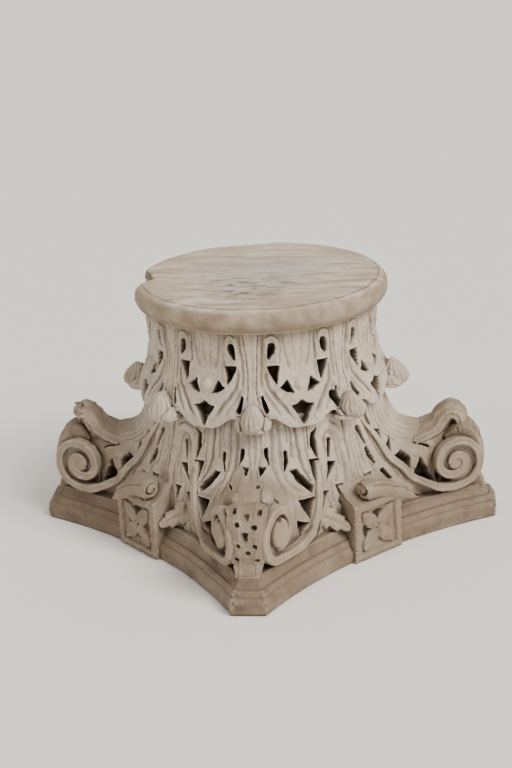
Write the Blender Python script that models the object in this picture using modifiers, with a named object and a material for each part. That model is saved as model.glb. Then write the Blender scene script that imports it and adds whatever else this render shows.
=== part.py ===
"""Carved marble capital, standing upside down on its abacus: one block of stone.

Metres, Z up. The origin is at the centre of the underside and one cut corner of the abacus points to -Y.
Corner number 0 is that near corner, 1 the right one (+X), 2 the back one and 3 the left one.
"""
import bpy
import bmesh
from math import atan2, ceil, cos, degrees, exp, pi, radians, sin, sqrt
from mathutils import Vector

# Abacus: square on plan with hollow sides and cut corners
ABACUS_REACH = 0.320
ABACUS_CUT_HALF = 0.023
ABACUS_SIDE = 0.209
ABACUS_HEIGHT = 0.046
BAND_HEIGHT = 0.023
BEAD_HEIGHT = 0.008
BAND_BULGE = 0.0015
BEAD_INSET = 0.008
TOP_INSET = 0.018

# Rosette blocks in the middle of the sides, moved along them as the carver set them out
BLOCK_PROUD = 0.0075
BLOCK_HALF_WIDTH = 0.042
BLOCK_HEIGHT = 0.081
BLOCK_DEPTH = 0.050
BLOCK_FRAME = 0.009
BLOCK_RECESS = 0.006
BLOCK_BACK_RISE = 0.026
BLOCK_TAPER = 0.8
BLOCK_GAP = 0.0005
BLOCK_SHIFT = (0.010, 0.0, 0.0, -0.026)
PETAL_WIDTH = 0.015
PETAL_HEIGHT = 0.005
BUTTON_RADIUS = 0.0065

# Roll over each block; its curled end looks to the front or the back corner
SCROLL_HAND = (-1, 1, -1, 1)
SCROLL_RADIUS = 0.009
SCROLL_GROWTH = 1.3
SCROLL_START = 0.017
SCROLL_LENGTH = 0.054

# Round astragal that is now the top
ASTRAGAL_RADIUS = 0.174
ASTRAGAL_FLAT_RADIUS = 0.161
ASTRAGAL_THICKNESS = 0.035
HEIGHT = 0.352
NOTCH_ANGLE = radians(-83)
NOTCH_DEPTH = 0.028
NOTCH_FAR = 0.060
NOTCH_NEAR = 0.012
NOTCH_BEYOND = 1.5

# Bell and the two rows of leaves
NECK_RADIUS = 0.156
NECK_SINK = 0.004
HEM_HEIGHT = 0.196
HEM_RADIUS = 0.171
HEM_OVERHANG = 0.013
HEM_SCALLOP = 0.006
LEAF_COUNT = 8
BELL_FOOT_RADIUS = 0.186
BELL_SINK = 0.012
BELL_TAPER = 0.006
BELL_SWELL = 0.009
SHELF_HEIGHT = 0.133
SHELF_EDGE_DROP = 0.008
SHELF_ROOT_RISE = 0.010
CORNER_SWELL = 0.012
CORNER_SETBACK = 0.068
CORNER_FOOT_SETBACK = 0.062

# Relief of the leaves. A pit is its angle from the leaf's middle and half angle in degrees, its place and
# half height as shares of the row, and how far its angle leans over the row's height.
RIB_RELIEF = 0.0035
CROOK_RELIEF = 0.0056
EYE_DEPTH = 0.009
LOWER_RIB_PITCH = 6.4
UPPER_RIB_PITCH = 7.5
LOWER_PITS = ((17.0, 2.6, 0.52, 0.16, 10.0), (33.0, 3.0, 0.35, 0.18, 0.0))
UPPER_PITS = ((8.4, 1.9, 0.80, 0.09, 0.0), (11.0, 2.6, 0.55, 0.13, 0.0), (22.5, 3.4, 0.16, 0.13, 0.0))
CROOK_ANGLE = 27.0
CROOK_HALF = 2.6

# Curled tips of the upper leaves
TIP_HEIGHT = 0.214
TIP_REACH = 0.196
TIP_HALF_WIDTH = 0.024
TIP_HALF_HEIGHT = 0.018
TIP_SINK = 0.014
TIP_RIBS = (0.93, 1.0, 0.93, 1.0, 1.0, 0.93, 1.0, 0.93)

# Curled tips of the corner leaves, as shares of the whole curl that are left
HOOK_LEFT = (0.24, 1.0, 1.0, 0.62)
HOOK_TOP = 0.173
HOOK_SETBACK = 0.042
HOOK_HALF_WIDTH = 0.022
HOOK_THICKNESS = 0.026
HOOK_RUN = 0.036
HOOK_SINK = 0.010

# Twin volutes under each corner leaf
VOLUTE_SETBACK = 0.056
VOLUTE_OFFSET = 0.041
VOLUTE_HALF_LENGTH = 0.041
VOLUTE_HALF_HEIGHT = 0.042
VOLUTE_SINK = 0.002
VOLUTE_TURN = radians(24)
VOLUTE_TURNS = 1.45
VOLUTE_BAND = 0.0105
CHANNEL_DEPTH = 0.007
EYE_RADIUS = 0.015
DRUM_INSET = 0.003
DRUM_DROP = 0.005
BED_DEPTH = 0.0105
BED_FRONT = 0.012
BED_BACK = 0.055
BED_HEIGHT = 0.008

# Stem of each volute, laid on the lower leaves: degrees from the corner's diagonal and shares of the row
STEM_PATH = ((30.0, 0.82), (26.5, 0.64), (24.0, 0.44), (20.0, 0.21), (16.0, 0.08))
STEM_BAND = 0.011
STEM_PROUD = 0.006
STEM_DEPTH = 0.022

# Spine between the twin volutes, and its foot on the abacus
SPINE_HALF_WIDTH = 0.019
SPINE_PROUD = 0.002
SPINE_DEPTH = 0.028
FOOT_HALF_WIDTH = 0.0165
FOOT_BEHIND = 0.020
FOOT_DISH = 0.001
FOOT_SINK = 0.004

# Facets
COLUMNS_PER_LEAF = 10
SIDE_FACETS = 7
ASTRAGAL_FACETS = 36
VOLUTE_STEPS = 13

MARBLE = (0.58, 0.53, 0.46, 1.0)
ROUGHNESS = 0.62

BLOCK_FACE = ABACUS_SIDE + BLOCK_PROUD
UNDER_HEM = HEM_RADIUS - HEM_OVERHANG
CORNER_REACH = ABACUS_REACH - CORNER_SETBACK
CORNER_FOOT_REACH = ABACUS_REACH - CORNER_FOOT_SETBACK
HOOK_REACH = ABACUS_REACH - HOOK_SETBACK
VOLUTE_REACH = ABACUS_REACH - VOLUTE_SETBACK
VOLUTE_HEIGHT = ABACUS_HEIGHT + VOLUTE_HALF_HEIGHT - VOLUTE_SINK
ASTRAGAL_FOOT = HEIGHT - ASTRAGAL_THICKNESS
CORNERS = range(4)


def clear_scene():
    for item in list(bpy.data.objects):
        bpy.data.objects.remove(item, do_unlink=True)


def new_collection(name):
    collection = bpy.data.collections.new(name)
    bpy.context.scene.collection.children.link(collection)
    return collection


def marble_material():
    material = bpy.data.materials.new("marble")
    material.use_nodes = True
    shader = material.node_tree.nodes["Principled BSDF"]
    shader.inputs["Base Color"].default_value = MARBLE
    shader.inputs["Roughness"].default_value = ROUGHNESS
    shader.inputs["Metallic"].default_value = 0.0
    return material


def add_object(name, mesh, collection, guide=True):
    item = bpy.data.objects.new(name, mesh)
    collection.objects.link(item)
    if guide:
        item.hide_render = True
        item.display_type = "WIRE"
    return item


def loft(name, rings, triangles=False):
    """Closed skin over a row of rings with equal point counts, each ring turning the same way."""
    shape = bmesh.new()
    rows = [[shape.verts.new(point) for point in ring] for ring in rings]
    count = len(rings[0])
    for low, high in zip(rows, rows[1:]):
        for i in range(count):
            j = (i + 1) % count
            shape.faces.new((low[i], low[j], high[j], high[i]))
    shape.faces.new(tuple(reversed(rows[0])))
    shape.faces.new(tuple(rows[-1]))
    bmesh.ops.recalc_face_normals(shape, faces=shape.faces)
    if triangles:
        bmesh.ops.triangulate(shape, faces=shape.faces[:])
    mesh = bpy.data.meshes.new(name)
    shape.to_mesh(mesh)
    shape.free()
    return mesh


def between(a, b, share):
    return a + (b - a) * share


def smooth(low, high, value):
    share = min(1.0, max(0.0, (value - low) / (high - low)))
    return share * share * (3.0 - 2.0 * share)


def bump(value, centre, width):
    return exp(-((value - centre) / width) ** 2)


def curve_through(points, share):
    """Point at a share of the way along a smooth curve through the given points."""
    last = len(points) - 1
    place = min(max(share, 0.0), 1.0) * last
    i = min(int(place), last - 1)
    t = place - i
    before = points[max(i - 1, 0)]
    after = points[min(i + 2, last)]
    result = []
    for p, a, b, n in zip(before, points[i], points[i + 1], after):
        result.append(a + 0.5 * t * (b - p + t * (2 * p - 5 * a + 4 * b - n + t * (3 * (a - b) + n - p))))
    return result


def side_radius():
    """Radius of the circle that hollows each side of the abacus, and its centre's distance."""
    half = (ABACUS_REACH - ABACUS_CUT_HALF) / sqrt(2)
    hollow = (ABACUS_REACH + ABACUS_CUT_HALF) / sqrt(2) - ABACUS_SIDE
    radius = (half * half + hollow * hollow) / (2 * hollow)
    return radius, ABACUS_SIDE + radius


def cut_turn(inset):
    """Angle from the diagonal at which the cut corner meets the hollow side."""
    radius, centre = side_radius()
    reach = ABACUS_REACH - inset
    rest = reach * reach - sqrt(2) * centre * reach + centre * centre - (radius + inset) ** 2
    across = (sqrt(2) * centre - sqrt(2 * centre * centre - 4 * rest)) / 2
    return atan2(across, reach)


def outline_reach(turn, inset=0.0):
    """Distance of the abacus outline from the axis, at an angle from the nearest corner's diagonal."""
    turn = abs(turn)
    if turn <= cut_turn(inset):
        return (ABACUS_REACH - inset) / cos(turn)
    radius, centre = side_radius()
    from_side = pi / 4 - turn
    return centre * cos(from_side) - sqrt((radius + inset) ** 2 - (centre * sin(from_side)) ** 2)


def corner_angle(corner):
    return -pi / 2 + corner * pi / 2


def turned_point(angle, out, across, height):
    """Point given outwards in a direction, across it (anticlockwise) and upwards."""
    return Vector((out * cos(angle) - across * sin(angle), out * sin(angle) + across * cos(angle), height))


def corner_point(corner, reach, across, height):
    """Point given along a corner's diagonal, across it (anticlockwise) and upwards."""
    return turned_point(corner_angle(corner), reach, across, height)


def abacus_ring(inset, height):
    start = cut_turn(inset)
    ring = []
    for corner in CORNERS:
        turns = [-start]
        for i in range(SIDE_FACETS + 1):
            turns.append(between(start, pi / 2 - start, i / (SIDE_FACETS + 1)))
        for turn in turns:
            folded = turn if turn <= pi / 4 else pi / 2 - turn
            reach = outline_reach(folded, inset)
            ring.append(turned_point(corner_angle(corner) + turn, reach, 0.0, height))
    return ring


def make_abacus(collection):
    bead_top = BAND_HEIGHT + BEAD_HEIGHT
    levels = [
        (BAND_BULGE, 0.0),
        (0.0, BAND_HEIGHT * 0.35),
        (0.0, BAND_HEIGHT * 0.8),
        (BAND_BULGE * 2, BAND_HEIGHT),
        (BEAD_INSET, bead_top),
        (BEAD_INSET + (TOP_INSET - BEAD_INSET) * 0.65, between(bead_top, ABACUS_HEIGHT, 0.5)),
        (TOP_INSET, ABACUS_HEIGHT),
    ]
    rings = [abacus_ring(inset, height) for inset, height in levels]
    return add_object("abacus", loft("abacus", rings), collection)


def make_astragal(collection):
    """Turned disc with a round edge, its flat worn top included."""
    half = ASTRAGAL_THICKNESS / 2
    edge = ASTRAGAL_RADIUS - ASTRAGAL_FLAT_RADIUS
    profile = [(0.0, HEIGHT), (ASTRAGAL_FLAT_RADIUS, HEIGHT)]
    for step in range(1, 6):
        turn = pi / 2 - step * pi / 5.5
        profile.append((ASTRAGAL_FLAT_RADIUS + edge * cos(turn), HEIGHT - half + half * sin(turn)))
    profile.append((NECK_RADIUS - NECK_SINK, ASTRAGAL_FOOT))
    profile.append((0.0, ASTRAGAL_FOOT))
    mesh = bpy.data.meshes.new("astragal")
    edges = [(i, i + 1) for i in range(len(profile) - 1)]
    mesh.from_pydata([(x, 0.0, z) for x, z in profile], edges, [])
    item = add_object("astragal", mesh, collection)
    turned = item.modifiers.new("turned", "SCREW")
    turned.steps = ASTRAGAL_FACETS
    turned.render_steps = ASTRAGAL_FACETS
    turned.use_merge_vertices = True
    turned.merge_threshold = 0.00005
    return item


def bell_profile(share):
    """Radius and height in the middle of a side, from the abacus (0) to the hem (1)."""
    points = (
        (BELL_FOOT_RADIUS, ABACUS_HEIGHT - BELL_SINK),
        (BELL_FOOT_RADIUS - BELL_TAPER, between(ABACUS_HEIGHT, HEM_HEIGHT, 0.28)),
        (UNDER_HEM + BELL_SWELL, between(ABACUS_HEIGHT, HEM_HEIGHT, 0.62)),
        (UNDER_HEM, HEM_HEIGHT),
    )
    return curve_through(points, share)


def corner_profile(share):
    """Radius and height on a corner's diagonal: bracket, edge and shelf of the leaf, then the bell."""
    points = (
        (CORNER_FOOT_REACH, ABACUS_HEIGHT - BELL_SINK),
        (CORNER_FOOT_REACH, between(ABACUS_HEIGHT, SHELF_HEIGHT, 0.5)),
        (CORNER_REACH, SHELF_HEIGHT - SHELF_EDGE_DROP),
        (between(UNDER_HEM, CORNER_REACH, 0.61), SHELF_HEIGHT),
        (between(UNDER_HEM, CORNER_REACH, 0.285), SHELF_HEIGHT + SHELF_ROOT_RISE),
        (UNDER_HEM + CORNER_SWELL, between(SHELF_HEIGHT, HEM_HEIGHT, 0.55)),
        (UNDER_HEM, HEM_HEIGHT),
    )
    return curve_through(points, share)


def corner_share(turn):
    """How far the surface leans out to the corner, 1 on the diagonal and 0 in the middle of a side."""
    return (outline_reach(turn) - ABACUS_SIDE) / (ABACUS_REACH - ABACUS_SIDE)


def pits(marks, angle, share):
    depth = 0.0
    for place, half_angle, middle, half_height, lean in marks:
        across = bump(angle, place + lean * share, half_angle)
        depth -= EYE_DEPTH * across * bump(share, middle, half_height)
    return depth


def lower_relief(turn, share):
    """Ribs that spread from the bell to the corner and the abacus, with pits between the lobes."""
    angle = abs(degrees(turn))
    ribs = RIB_RELIEF * cos(2 * pi * angle / LOWER_RIB_PITCH) * smooth(0.1, 0.4, share)
    crook = CROOK_RELIEF * bump(angle, CROOK_ANGLE, CROOK_HALF) * smooth(0.35, 0.75, share)
    return ribs + crook + pits(LOWER_PITS, angle, share)


def upper_relief(turn, share):
    """Long ribs, the eyes between the leaves and the mouths below them; share runs from hem to neck."""
    angle = abs(degrees(turn))
    ribs = RIB_RELIEF * cos(2 * pi * angle / UPPER_RIB_PITCH) * smooth(0.0, 0.3, share)
    return ribs + pits(UPPER_PITS, angle, share)


def column_turns():
    """Angles of the columns from one corner to the next, closer together near the corners."""
    count = 2 * COLUMNS_PER_LEAF
    turns = []
    for i in range(count):
        even = i / count
        turns.append(pi / 2 * (even - 0.055 * sin(2 * pi * even)))
    return turns


def bell_point(corner, turn, row):
    """Surface point; row is (zone, share) with zone 0 below the hem and 1 above it."""
    zone, share = row
    folded = turn if turn <= pi / 4 else turn - pi / 2
    lean = corner_share(folded)
    if zone == 0:
        side, diagonal = bell_profile(share), corner_profile(share)
        radius = between(side[0], diagonal[0], lean)
        height = between(side[1], diagonal[1], lean)
        radius += lower_relief(folded, share) * smooth(0.0, 0.12, share) * smooth(1.0, 0.86, share)
    else:
        leaf = 2 * pi / LEAF_COUNT
        in_leaf = (folded + leaf / 2) % leaf - leaf / 2
        radius = between(HEM_RADIUS, NECK_RADIUS, smooth(0.0, 0.62, share))
        scallop = HEM_SCALLOP * cos(2 * pi * in_leaf / leaf) * (1.0 - smooth(0.0, 0.3, share))
        height = between(HEM_HEIGHT, ASTRAGAL_FOOT + NECK_SINK, share) + scallop
        radius += upper_relief(in_leaf, share) * smooth(1.0, 0.92, share)
    return turned_point(corner_angle(corner) + turn, radius, 0.0, height)


def make_bell():
    """Leaf-covered bell: the lower row up to the hem, then the upper row that overhangs it."""
    lower = (0.0, 0.20, 0.34, 0.46, 0.58, 0.72, 0.86, 1.0)
    upper = (0.0, 0.10, 0.24, 0.40, 0.56, 0.70, 0.82, 0.92, 1.0)
    rows = [(0, share) for share in lower] + [(1, share) for share in upper]
    rings = []
    for row in rows:
        rings.append([bell_point(corner, turn, row) for corner in CORNERS for turn in column_turns()])
    return loft("capital", rings, triangles=True)


def make_upper_tip(number, collection):
    """Curled leaf tip: level slices of a ribbed nub that swells from the bell and turns under."""
    angle = corner_angle(0) + number * 2 * pi / LEAF_COUNT
    root = HEM_RADIUS - TIP_SINK
    inner = root - TIP_SINK * 0.3
    levels = (
        (-1.0, 0.62, 0.45),
        (-0.72, 0.92, 0.88),
        (-0.10, 1.0, 1.0),
        (0.55, 0.84, 0.78),
        (1.35, 0.40, 0.28),
    )
    rings = []
    for rise, wide, swell in levels:
        ring = [(inner, -TIP_HALF_WIDTH * wide * 0.8), (inner, TIP_HALF_WIDTH * wide * 0.8)]
        for j, rib in enumerate(TIP_RIBS):
            turn = pi * j / (len(TIP_RIBS) - 1)
            out = root + (TIP_REACH - root) * swell * rib * sin(turn)
            ring.append((out, TIP_HALF_WIDTH * wide * cos(turn)))
        height = TIP_HEIGHT + rise * TIP_HALF_HEIGHT
        rings.append([turned_point(angle, out, across, height) for out, across in ring])
    return add_object(f"upper_tip_{number}", loft("upper_tip", rings), collection)


def make_hook(corner, collection):
    """Curled end of a corner leaf; a broken one stops part of the way round its curl."""
    shelf = SHELF_HEIGHT - HOOK_SINK
    start = CORNER_REACH - HOOK_RUN
    path = (
        (start, shelf, 1.55, 0.9),
        (between(start, HOOK_REACH, 0.34), between(shelf, HOOK_TOP, 0.26), 1.30, 1.0),
        (between(start, HOOK_REACH, 0.50), between(shelf, HOOK_TOP, 0.58), 1.10, 1.05),
        (between(start, HOOK_REACH, 0.68), between(shelf, HOOK_TOP, 0.76), 1.00, 1.0),
        (between(start, HOOK_REACH, 0.84), between(shelf, HOOK_TOP, 0.62), 0.95, 0.85),
        (between(start, HOOK_REACH, 0.80), between(shelf, HOOK_TOP, 0.30), 0.85, 0.60),
        (between(start, HOOK_REACH, 0.66), between(shelf, HOOK_TOP, 0.12), 0.60, 0.40),
    )
    left = HOOK_LEFT[corner]
    count = max(3, ceil(left * 8))
    rings = []
    for i in range(count + 1):
        share = left * i / count
        here = curve_through(path, share)
        ahead = curve_through(path, share + 0.02)
        behind = curve_through(path, share - 0.02)
        way = Vector((ahead[0] - behind[0], ahead[1] - behind[1])).normalized()
        ring = []
        for j in range(8):
            turn = 2 * pi * (j + 0.5) / 8
            across = HOOK_HALF_WIDTH * here[2] * cos(turn)
            out = HOOK_THICKNESS / 2 * here[3] * sin(turn)
            ring.append(corner_point(corner, here[0] - way.y * out, across, here[1] + way.x * out))
        rings.append(ring)
    return add_object(f"corner_leaf_{corner}", loft("corner_leaf", rings), collection)


def volute_point(corner, side, along, height, depth):
    """Point on a volute's face plane: along it (outwards), up, and depth behind it."""
    reach = VOLUTE_REACH + along * cos(VOLUTE_TURN) - depth * sin(VOLUTE_TURN)
    across = VOLUTE_OFFSET - along * sin(VOLUTE_TURN) - depth * cos(VOLUTE_TURN)
    return corner_point(corner, reach, side * across, VOLUTE_HEIGHT + height)


def make_drum(corner, collection):
    """Mass between the two volutes of a corner; its ends are the floors of their channels."""
    rings = []
    middle = VOLUTE_OFFSET * 0.5
    for side, depth in ((-1, CHANNEL_DEPTH), (-1, middle), (1, middle), (1, CHANNEL_DEPTH)):
        ring = []
        for j in range(12):
            turn = 2 * pi * j / 12
            along = (VOLUTE_HALF_LENGTH - DRUM_INSET) * cos(turn)
            height = (VOLUTE_HALF_HEIGHT - DRUM_INSET) * sin(turn) - DRUM_DROP
            ring.append(volute_point(corner, side, along, height, depth))
        rings.append(ring)
    return add_object(f"drum_{corner}", loft("drum", rings), collection)


def make_bed(corner, collection):
    """Stone left under the drum, which joins it and the stems to the abacus."""
    rings = []
    for height in (ABACUS_HEIGHT - FOOT_SINK, ABACUS_HEIGHT + BED_HEIGHT):
        level = height - VOLUTE_HEIGHT
        ring = []
        for side, along in ((-1, BED_FRONT), (1, BED_FRONT), (1, -BED_BACK), (-1, -BED_BACK)):
            ring.append(volute_point(corner, side, along, level, BED_DEPTH))
        rings.append(ring)
    return add_object(f"bed_{corner}", loft("bed", rings), collection)


def spiral(turned):
    """Centre line of the volute's band, from the bottom outwards and up, as shares of its half sizes."""
    share = turned / VOLUTE_TURNS
    swing = -pi / 2 + 2 * pi * turned
    outer = 1.0 - 0.5 * VOLUTE_BAND / VOLUTE_HALF_HEIGHT
    size = between(outer, EYE_RADIUS / VOLUTE_HALF_HEIGHT, share ** 0.9)
    return size * cos(swing), size * sin(swing), size


def make_stem(corner, side):
    """Rings of the stem: a band across its way, proud of the leaves and sunk into the bell."""
    places = []
    for angle, share in STEM_PATH:
        turn = radians(angle) * side
        places.append((bell_point(corner, turn, (0, share)), corner_angle(corner) + turn))
    rings = []
    for i, (place, angle) in enumerate(places):
        way = places[min(i + 1, len(places) - 1)][0] - places[max(i - 1, 0)][0]
        out = Vector((cos(angle), sin(angle), 0.0))
        lower = out.cross(way).normalized() * side
        ring = []
        for level, depth in ((0.5, 0.0), (-0.5, 0.0), (-0.5, STEM_DEPTH), (0.5, STEM_DEPTH)):
            ring.append(place + lower * level * STEM_BAND + out * (STEM_PROUD - depth))
        rings.append(ring)
    return rings


def make_volute(corner, side, collection):
    """Stem down the leaves to the abacus, then the band that curls up and in to the eye."""
    rings = make_stem(corner, side)
    for i in range(VOLUTE_STEPS + 1):
        turned = VOLUTE_TURNS * i / VOLUTE_STEPS
        along, height, size = spiral(turned)
        band = VOLUTE_BAND * between(1.0, 0.6, i / VOLUTE_STEPS)
        ring = []
        for level, depth in ((0.5, 0.0), (-0.5, 0.0), (-0.5, 2 * CHANNEL_DEPTH), (0.5, 2 * CHANNEL_DEPTH)):
            grow = 1.0 + level * band / (size * VOLUTE_HALF_HEIGHT)
            a = along * grow * VOLUTE_HALF_LENGTH
            h = height * grow * VOLUTE_HALF_HEIGHT
            ring.append(volute_point(corner, side, a, h, depth))
        rings.append(ring)
    name = f"volute_{corner}_{'right' if side > 0 else 'left'}"
    return add_object(name, loft("volute", rings, triangles=True), collection)


def make_eye(corner, side, collection):
    """Domed middle of a volute."""
    rings = []
    for sunk, share in ((1.6, 1.0), (0.35, 1.0), (-0.2, 0.55)):
        ring = []
        for j in range(8):
            turn = 2 * pi * j / 8
            size = EYE_RADIUS * share
            depth = sunk * CHANNEL_DEPTH
            ring.append(volute_point(corner, side, size * cos(turn), size * sin(turn), depth))
        rings.append(ring)
    return add_object(f"eye_{corner}_{side}", loft("eye", rings), collection)


def make_spine(corner, collection):
    """Strip between the twin volutes, bent round the drum, down to its foot on the abacus."""
    rings = []
    section = (
        (-1, SPINE_PROUD),
        (0, SPINE_PROUD * 0.2),
        (1, SPINE_PROUD),
        (1, -SPINE_DEPTH),
        (-1, -SPINE_DEPTH),
    )
    half_length = VOLUTE_HALF_LENGTH * cos(VOLUTE_TURN)
    for angle in (68, 34, 0, -34):
        turn = radians(angle)
        wide = between(SPINE_HALF_WIDTH, SPINE_HALF_WIDTH * 1.35, smooth(-34, 68, angle))
        ring = []
        for across, out in section:
            reach = VOLUTE_REACH + (half_length + out) * cos(turn)
            height = VOLUTE_HEIGHT + (VOLUTE_HALF_HEIGHT + out) * sin(turn)
            ring.append(corner_point(corner, reach, across * wide, height))
        rings.append(ring)
    front = ABACUS_REACH - TOP_INSET
    back = VOLUTE_REACH - FOOT_BEHIND
    for height in (between(ABACUS_HEIGHT, VOLUTE_HEIGHT, 0.22), ABACUS_HEIGHT - FOOT_SINK):
        ring = []
        for across, reach in ((-1, front), (0, front - FOOT_DISH), (1, front), (1, back), (-1, back)):
            ring.append(corner_point(corner, reach, across * FOOT_HALF_WIDTH, height))
        rings.append(ring)
    return add_object(f"spine_{corner}", loft("spine", rings), collection)


def side_point(side, out, along, height):
    """Point given outwards from the middle of a side, along it (anticlockwise) and upwards."""
    return turned_point(corner_angle(side) + pi / 4, out, along, height)


def make_block(side, collection):
    """Rosette block: a plain box whose top slopes up and back to the bell, with a sunk panel."""
    shift = BLOCK_SHIFT[side]
    back = BLOCK_FACE - BLOCK_DEPTH
    half = BLOCK_HALF_WIDTH
    inner = half - BLOCK_FRAME
    narrow = half * BLOCK_TAPER
    low = BLOCK_GAP
    high = BLOCK_HEIGHT + BLOCK_BACK_RISE
    outer = ((-half, low), (half, low), (half, BLOCK_HEIGHT), (-half, BLOCK_HEIGHT))
    panel = (
        (-inner, low + BLOCK_FRAME),
        (inner, low + BLOCK_FRAME),
        (inner, BLOCK_HEIGHT - BLOCK_FRAME),
        (-inner, BLOCK_HEIGHT - BLOCK_FRAME),
    )
    rear = ((-half, low), (half, low), (narrow, high), (-narrow, high))
    sunk = BLOCK_FACE - BLOCK_RECESS
    rings = []
    for out, ring in ((back, rear), (BLOCK_FACE, outer), (BLOCK_FACE, panel), (sunk, panel)):
        rings.append([side_point(side, out, shift + along, height) for along, height in ring])
    return add_object(f"block_{side}", loft("block", rings), collection)


def make_rosette(side, collection):
    """Four petals on the panel's diagonals and a button in the middle."""
    shift = BLOCK_SHIFT[side]
    floor = BLOCK_FACE - BLOCK_RECESS
    centre = BLOCK_HEIGHT / 2
    items = []
    for petal in range(4):
        lean = pi / 4 + petal * pi / 2
        length = (BLOCK_HALF_WIDTH - BLOCK_FRAME) * 1.22
        rings = []
        for along, wide, rise in ((0.06, 0.35, 0.7), (0.55, 1.0, 1.0), (1.0, 0.25, 0.5)):
            ring = []
            for across, out in ((-1.0, -0.4), (0.0, rise), (1.0, -0.4)):
                a = length * along * cos(lean) - across * wide * PETAL_WIDTH / 2 * sin(lean)
                h = length * along * sin(lean) + across * wide * PETAL_WIDTH / 2 * cos(lean)
                ring.append(side_point(side, floor + out * PETAL_HEIGHT, shift + a, centre + h))
            rings.append(ring)
        items.append(add_object(f"petal_{side}_{petal}", loft("petal", rings), collection))
    rings = []
    for out, share in ((-0.5, 1.0), (0.75, 1.0), (1.15, 0.5)):
        ring = []
        for j in range(8):
            turn = 2 * pi * j / 8
            a = BUTTON_RADIUS * share * cos(turn)
            h = BUTTON_RADIUS * share * sin(turn)
            ring.append(side_point(side, floor + out * PETAL_HEIGHT, shift + a, centre + h))
        rings.append(ring)
    items.append(add_object(f"button_{side}", loft("button", rings), collection))
    return items


def make_scroll(side, collection):
    """Roll that lies along the slope behind the block's top edge and grows into the leaves beside it."""
    rings = []
    for share in (0.0, 0.35, 0.7, 1.0):
        rest = between(0.75, 0.2, share)
        size = SCROLL_RADIUS * between(1.0, SCROLL_GROWTH, share)
        middle = BLOCK_FACE - SCROLL_RADIUS * between(0.75, 3.2, share)
        slope = BLOCK_HEIGHT + BLOCK_BACK_RISE * (BLOCK_FACE - middle) / BLOCK_DEPTH
        along = BLOCK_SHIFT[side] + SCROLL_HAND[side] * (SCROLL_START - SCROLL_LENGTH * share)
        ring = []
        for j in range(10):
            turn = 2 * pi * j / 10
            out = middle + size * cos(turn)
            ring.append(side_point(side, out, along, slope + size * (rest + sin(turn))))
        rings.append(ring)
    return add_object(f"scroll_{side}", loft("scroll", rings), collection)


def make_notch(collection):
    """Wedge that has broken out of the astragal's edge, from its inmost point past the rim."""
    angle = corner_angle(0) + NOTCH_ANGLE
    inmost = ASTRAGAL_RADIUS - NOTCH_DEPTH
    plan = [(inmost, 0.0)]
    for across in (NOTCH_NEAR, -NOTCH_FAR):
        rim = sqrt(ASTRAGAL_RADIUS ** 2 - across ** 2)
        plan.append((between(inmost, rim, NOTCH_BEYOND), across * NOTCH_BEYOND))
    rings = []
    for height in (ASTRAGAL_FOOT - ASTRAGAL_THICKNESS * 0.1, HEIGHT + ASTRAGAL_THICKNESS * 0.3):
        rings.append([turned_point(angle, reach, across, height) for reach, across in plan])
    return add_object("notch", loft("notch", rings), collection)


def main():
    clear_scene()
    capital_group = new_collection("marble_capital")
    masses = new_collection("masses")
    cuts = new_collection("cuts")
    make_abacus(masses)
    make_astragal(masses)
    for number in range(LEAF_COUNT):
        make_upper_tip(number, masses)
    for corner in CORNERS:
        make_hook(corner, masses)
        make_drum(corner, masses)
        make_bed(corner, masses)
        make_spine(corner, masses)
        for side in (-1, 1):
            make_volute(corner, side, masses)
            make_eye(corner, side, masses)
    for side in CORNERS:
        make_block(side, masses)
        make_rosette(side, masses)
        make_scroll(side, masses)
    make_notch(cuts)
    capital = add_object("capital", make_bell(), capital_group, guide=False)
    joined = capital.modifiers.new("one_block", "BOOLEAN")
    joined.operation = "UNION"
    joined.operand_type = "COLLECTION"
    joined.collection = masses
    joined.solver = "EXACT"
    broken = capital.modifiers.new("broken_edge", "BOOLEAN")
    broken.operation = "DIFFERENCE"
    broken.operand_type = "COLLECTION"
    broken.collection = cuts
    broken.solver = "EXACT"
    capital.data.materials.append(marble_material())


main()
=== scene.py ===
"""Dressed marble capital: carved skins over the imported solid, a pale floor, soft light and the camera."""

from math import cos, pi, radians, sin

import bpy
import numpy as np
from mathutils import Matrix, Vector


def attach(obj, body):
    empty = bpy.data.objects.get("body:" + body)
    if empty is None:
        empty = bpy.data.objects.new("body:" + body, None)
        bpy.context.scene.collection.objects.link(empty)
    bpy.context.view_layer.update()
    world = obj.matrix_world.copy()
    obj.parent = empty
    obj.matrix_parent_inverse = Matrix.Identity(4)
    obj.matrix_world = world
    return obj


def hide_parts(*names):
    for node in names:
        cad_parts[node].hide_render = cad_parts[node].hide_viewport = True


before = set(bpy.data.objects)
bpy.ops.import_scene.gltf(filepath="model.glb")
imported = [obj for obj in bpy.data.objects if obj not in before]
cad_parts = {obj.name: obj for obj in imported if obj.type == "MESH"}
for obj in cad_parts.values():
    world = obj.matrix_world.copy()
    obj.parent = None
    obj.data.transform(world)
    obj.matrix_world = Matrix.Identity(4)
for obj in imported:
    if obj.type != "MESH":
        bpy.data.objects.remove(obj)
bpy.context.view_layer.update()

# Camera, fitted to the photograph
CAMERA_PLACE = (0.219, -2.0793, 0.9551)
CAMERA_AZIMUTH = radians(6.354)
CAMERA_ELEVATION = radians(20.044)
CAMERA_ROLL = -0.0481
FOCAL_PIXELS = 1596.7
IMAGE_HEIGHT = 768
SENSOR = 36.0

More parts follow.
